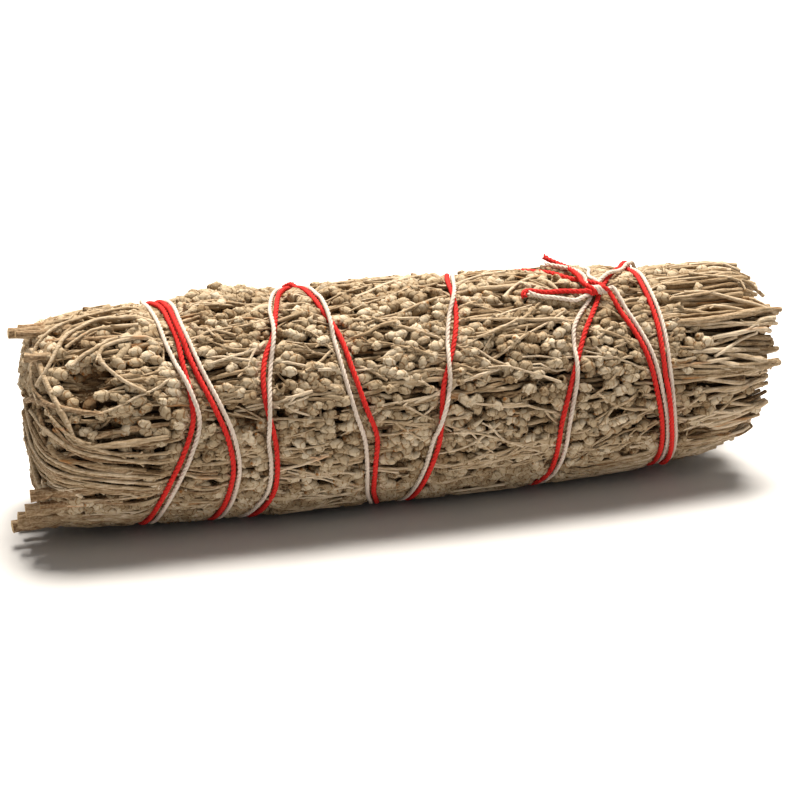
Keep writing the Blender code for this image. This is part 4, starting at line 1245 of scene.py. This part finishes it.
for angle, end, radius in stubs["places"]:
    index = sprigAt(angle)
    woodyStub(streams[index], growths[index], angle, end, radius)
for index, (growth, rng) in enumerate(zip(growths, streams)):
    fillCutEnd(rng, growth, index)
    growPiece(f"sprigGrowth_{index + 1:02d}", growth, f"sprig_{index + 1:02d}")


# Inner sprigs: their cut ends show at +X

inner = {
    "seed": 700, "stems": 36, "radius": (0.7, 1.15), "tone": (0.25, 0.6), "ends": (79.0, 91.0), "out": 12.4,
    "top": -80.0, "runs": (-40.0, 10.0, 50.0, 72.0),
}


def innerSprig(index):
    rng = np.random.default_rng(inner["seed"] + index)
    growth = Growth()
    width = 360 / bunch["innerSprigs"]
    for _ in range(inner["stems"]):
        out = inner["out"] * math.sqrt(rng.uniform(0.01, 1))
        angle = width * (index + rng.random())
        end = rng.uniform(*inner["ends"])
        x = np.array([inner["top"] + rng.uniform(0, 4), *inner["runs"], end])
        points = place(x, angle + rng.uniform(-4, 4, len(x)), out)
        growth.line(points, rng.uniform(*inner["radius"]), rng.uniform(*inner["tone"]), cutEnd=True)
    growPiece(f"innerGrowth_{index + 1}", growth, f"inner_sprig_{index + 1}")


for index in range(bunch["innerSprigs"]):
    innerSprig(index)


# The strings

def twineTree():
    tree, given = geometryTree("twistTwine", {
        "Step": "Float", "Plies": "Int", "Sides": "Int", "Radius": "Float", "Pitch": "Float",
        "Finish": "Material"})
    loose = named(tree, "loose", "FLOAT")
    curve = tree.add("GeometryNodeMeshToCurve", {0: given["Geometry"]})
    fine = tree.add("GeometryNodeResampleCurve", {0: curve, "Length": given["Step"]}, mode="LENGTH")
    many = tree.add("GeometryNodeDuplicateElements", {0: fine, "Amount": given["Plies"]}, domain="SPLINE")
    number = Wire(tree, many.socket.node.outputs[1])
    held = tree.add("GeometryNodeStoreNamedAttribute", {0: many, "Name": "ply", "Value": number},
                    data_type="FLOAT", domain="POINT")
    ply = named(tree, "ply", "FLOAT")
    length = tree.add("GeometryNodeSplineParameter", out=1)
    turn = (length / given["Pitch"] + ply / given["Plies"]) * (2 * math.pi)
    tangent = tree.add("GeometryNodeInputTangent")
    normal = tree.add("GeometryNodeInputNormal")
    other = tree.add("ShaderNodeVectorMath", {0: tangent, 1: normal}, operation="CROSS_PRODUCT")
    spread = given["Radius"] * (0.44 + loose * 0.5)
    cosine = tree.add("ShaderNodeMath", {0: turn}, operation="COSINE") * spread
    sine = tree.add("ShaderNodeMath", {0: turn}, operation="SINE") * spread
    first = tree.add("ShaderNodeVectorMath", {0: normal, "Scale": cosine}, operation="SCALE")
    second = tree.add("ShaderNodeVectorMath", {0: other, "Scale": sine}, operation="SCALE")
    offset = tree.add("ShaderNodeVectorMath", {0: first, 1: second}, operation="ADD")
    moved = tree.add("GeometryNodeSetPosition", {0: held, "Offset": offset})
    ring = tree.add("GeometryNodeCurvePrimitiveCircle", {"Resolution": given["Sides"], "Radius": 1.0})
    thick = given["Radius"] * (0.58 - loose * 0.2)
    tubes = tree.add("GeometryNodeCurveToMesh", {0: moved, 1: ring, "Scale": thick, "Fill Caps": True})
    real = tree.add("GeometryNodeRealizeInstances", {0: tubes})
    smooth = tree.add("GeometryNodeSetShadeSmooth", {0: real})
    done = tree.add("GeometryNodeSetMaterial", {0: smooth, 2: given["Finish"]})
    tree.add("NodeGroupOutput", {0: done})
    return tree


def strandPiece(name, white, finish, node):
    points = strandPath(white, wound)
    mesh = bpy.data.meshes.new(name)
    count = len(points)
    mesh.from_pydata((points * mm).tolist(), [(i, i + 1) for i in range(count - 1)], [])
    toEnd = np.minimum(np.arange(count), np.arange(count)[::-1]) * twine["pathStep"]
    loose = np.clip(1 - toEnd / twine["fray"], 0, 1) ** 2  # the plies part towards both tips
    mesh.attributes.new("loose", "FLOAT", "POINT").data.foreach_set("value", loose)
    piece = runTree(name, mesh, stringTree, {
        "Step": twine["step"] * mm, "Plies": twine["plies"], "Sides": twine["plySides"],
        "Radius": twine["seen"][white] * mm, "Pitch": twine["pitch"] * mm, "Finish": finish})
    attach(piece, "root")
    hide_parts(node)
    print(name, len(piece.data.polygons), "faces")


stringTree = twineTree()
strandPiece("redTwine", 0, redFinish, "red_string")
strandPiece("whiteTwine", 1, whiteFinish, "white_string")

for shape in list(kindCollection.objects):
    bpy.data.objects.remove(shape)
bpy.data.collections.remove(kindCollection)


# Floor, light and camera

# These lengths are in metres. A light: name, power, size, azimuth, elevation, distance, colour
studio = {
    "floorSize": 10.0, "floorColour": (0.68, 0.675, 0.67), "floorRoughness": 0.75, "floorGrain": 0.1,
    "worldColour": (1.0, 0.985, 0.96), "worldStrength": 0.17,
    "azimuth": -16.0, "elevation": 20.0, "distance": 0.470, "target": (0.00154, 0.00007, 0.0224),
    "lens": 89.1, "sensor": 36, "clip": (0.01, 20),
    "lights": (("keyLight", 64.0, 0.8, 155, 73, 1.5, (1.0, 0.94, 0.86)),
               ("fillLight", 1.9, 1.0, 38, 45, 1.5, (1.0, 0.95, 0.88))),
}


def makeFloor():
    bm = bmesh.new()
    bmesh.ops.create_grid(bm, x_segments=1, y_segments=1, size=studio["floorSize"] / 2)
    mesh = bpy.data.meshes.new("floor")
    bm.to_mesh(mesh)
    bm.free()
    floor = bpy.data.objects.new("floor", mesh)
    bpy.context.scene.collection.objects.link(floor)
    material, tree = shaderTree("floorPaper")
    spot = tree.add("ShaderNodeTexCoord", out=3)
    grain = noise(tree, spot, 900, 2)
    surface = tree.add("ShaderNodeBsdfPrincipled", {
        "Base Color": (*studio["floorColour"], 1),
        "Roughness": grain * studio["floorGrain"] + studio["floorRoughness"]})
    tree.add("ShaderNodeOutputMaterial", {0: surface})
    mesh.materials.append(material)


def standBack(name, data, azimuth, elevation, distance):  # a light or camera that looks at the target
    turn, up = math.radians(azimuth), math.radians(elevation)
    back = Vector((math.sin(turn) * math.cos(up), -math.cos(turn) * math.cos(up), math.sin(up)))
    item = bpy.data.objects.new(name, data)
    item.location = back * distance + Vector(studio["target"])
    item.rotation_euler = back.to_track_quat("Z", "Y").to_euler()
    bpy.context.scene.collection.objects.link(item)
    return item


def addLight(name, power, size, azimuth, elevation, distance, colour):
    light = bpy.data.lights.new(name, "AREA")
    light.energy, light.size, light.color = power, size, colour
    standBack(name, light, azimuth, elevation, distance)


def makeWorld():
    world = bpy.data.worlds.new("studioWorld")
    world.use_nodes = True
    tree = Tree(world.node_tree)
    sky = tree.add("ShaderNodeBackground", {0: (*studio["worldColour"], 1), 1: studio["worldStrength"]})
    tree.add("ShaderNodeOutputWorld", {0: sky})
    bpy.context.scene.world = world


def makeCamera():
    data = bpy.data.cameras.new("camera")
    data.lens, data.sensor_width = studio["lens"], studio["sensor"]
    data.clip_start, data.clip_end = studio["clip"]
    camera = standBack("camera", data, studio["azimuth"], studio["elevation"], studio["distance"])
    bpy.context.scene.camera = camera


makeFloor()
for light in studio["lights"]:
    addLight(*light)
makeWorld()
makeCamera()
bpy.context.scene.view_settings.view_transform = "Standard"
print("floor, light and camera ready")
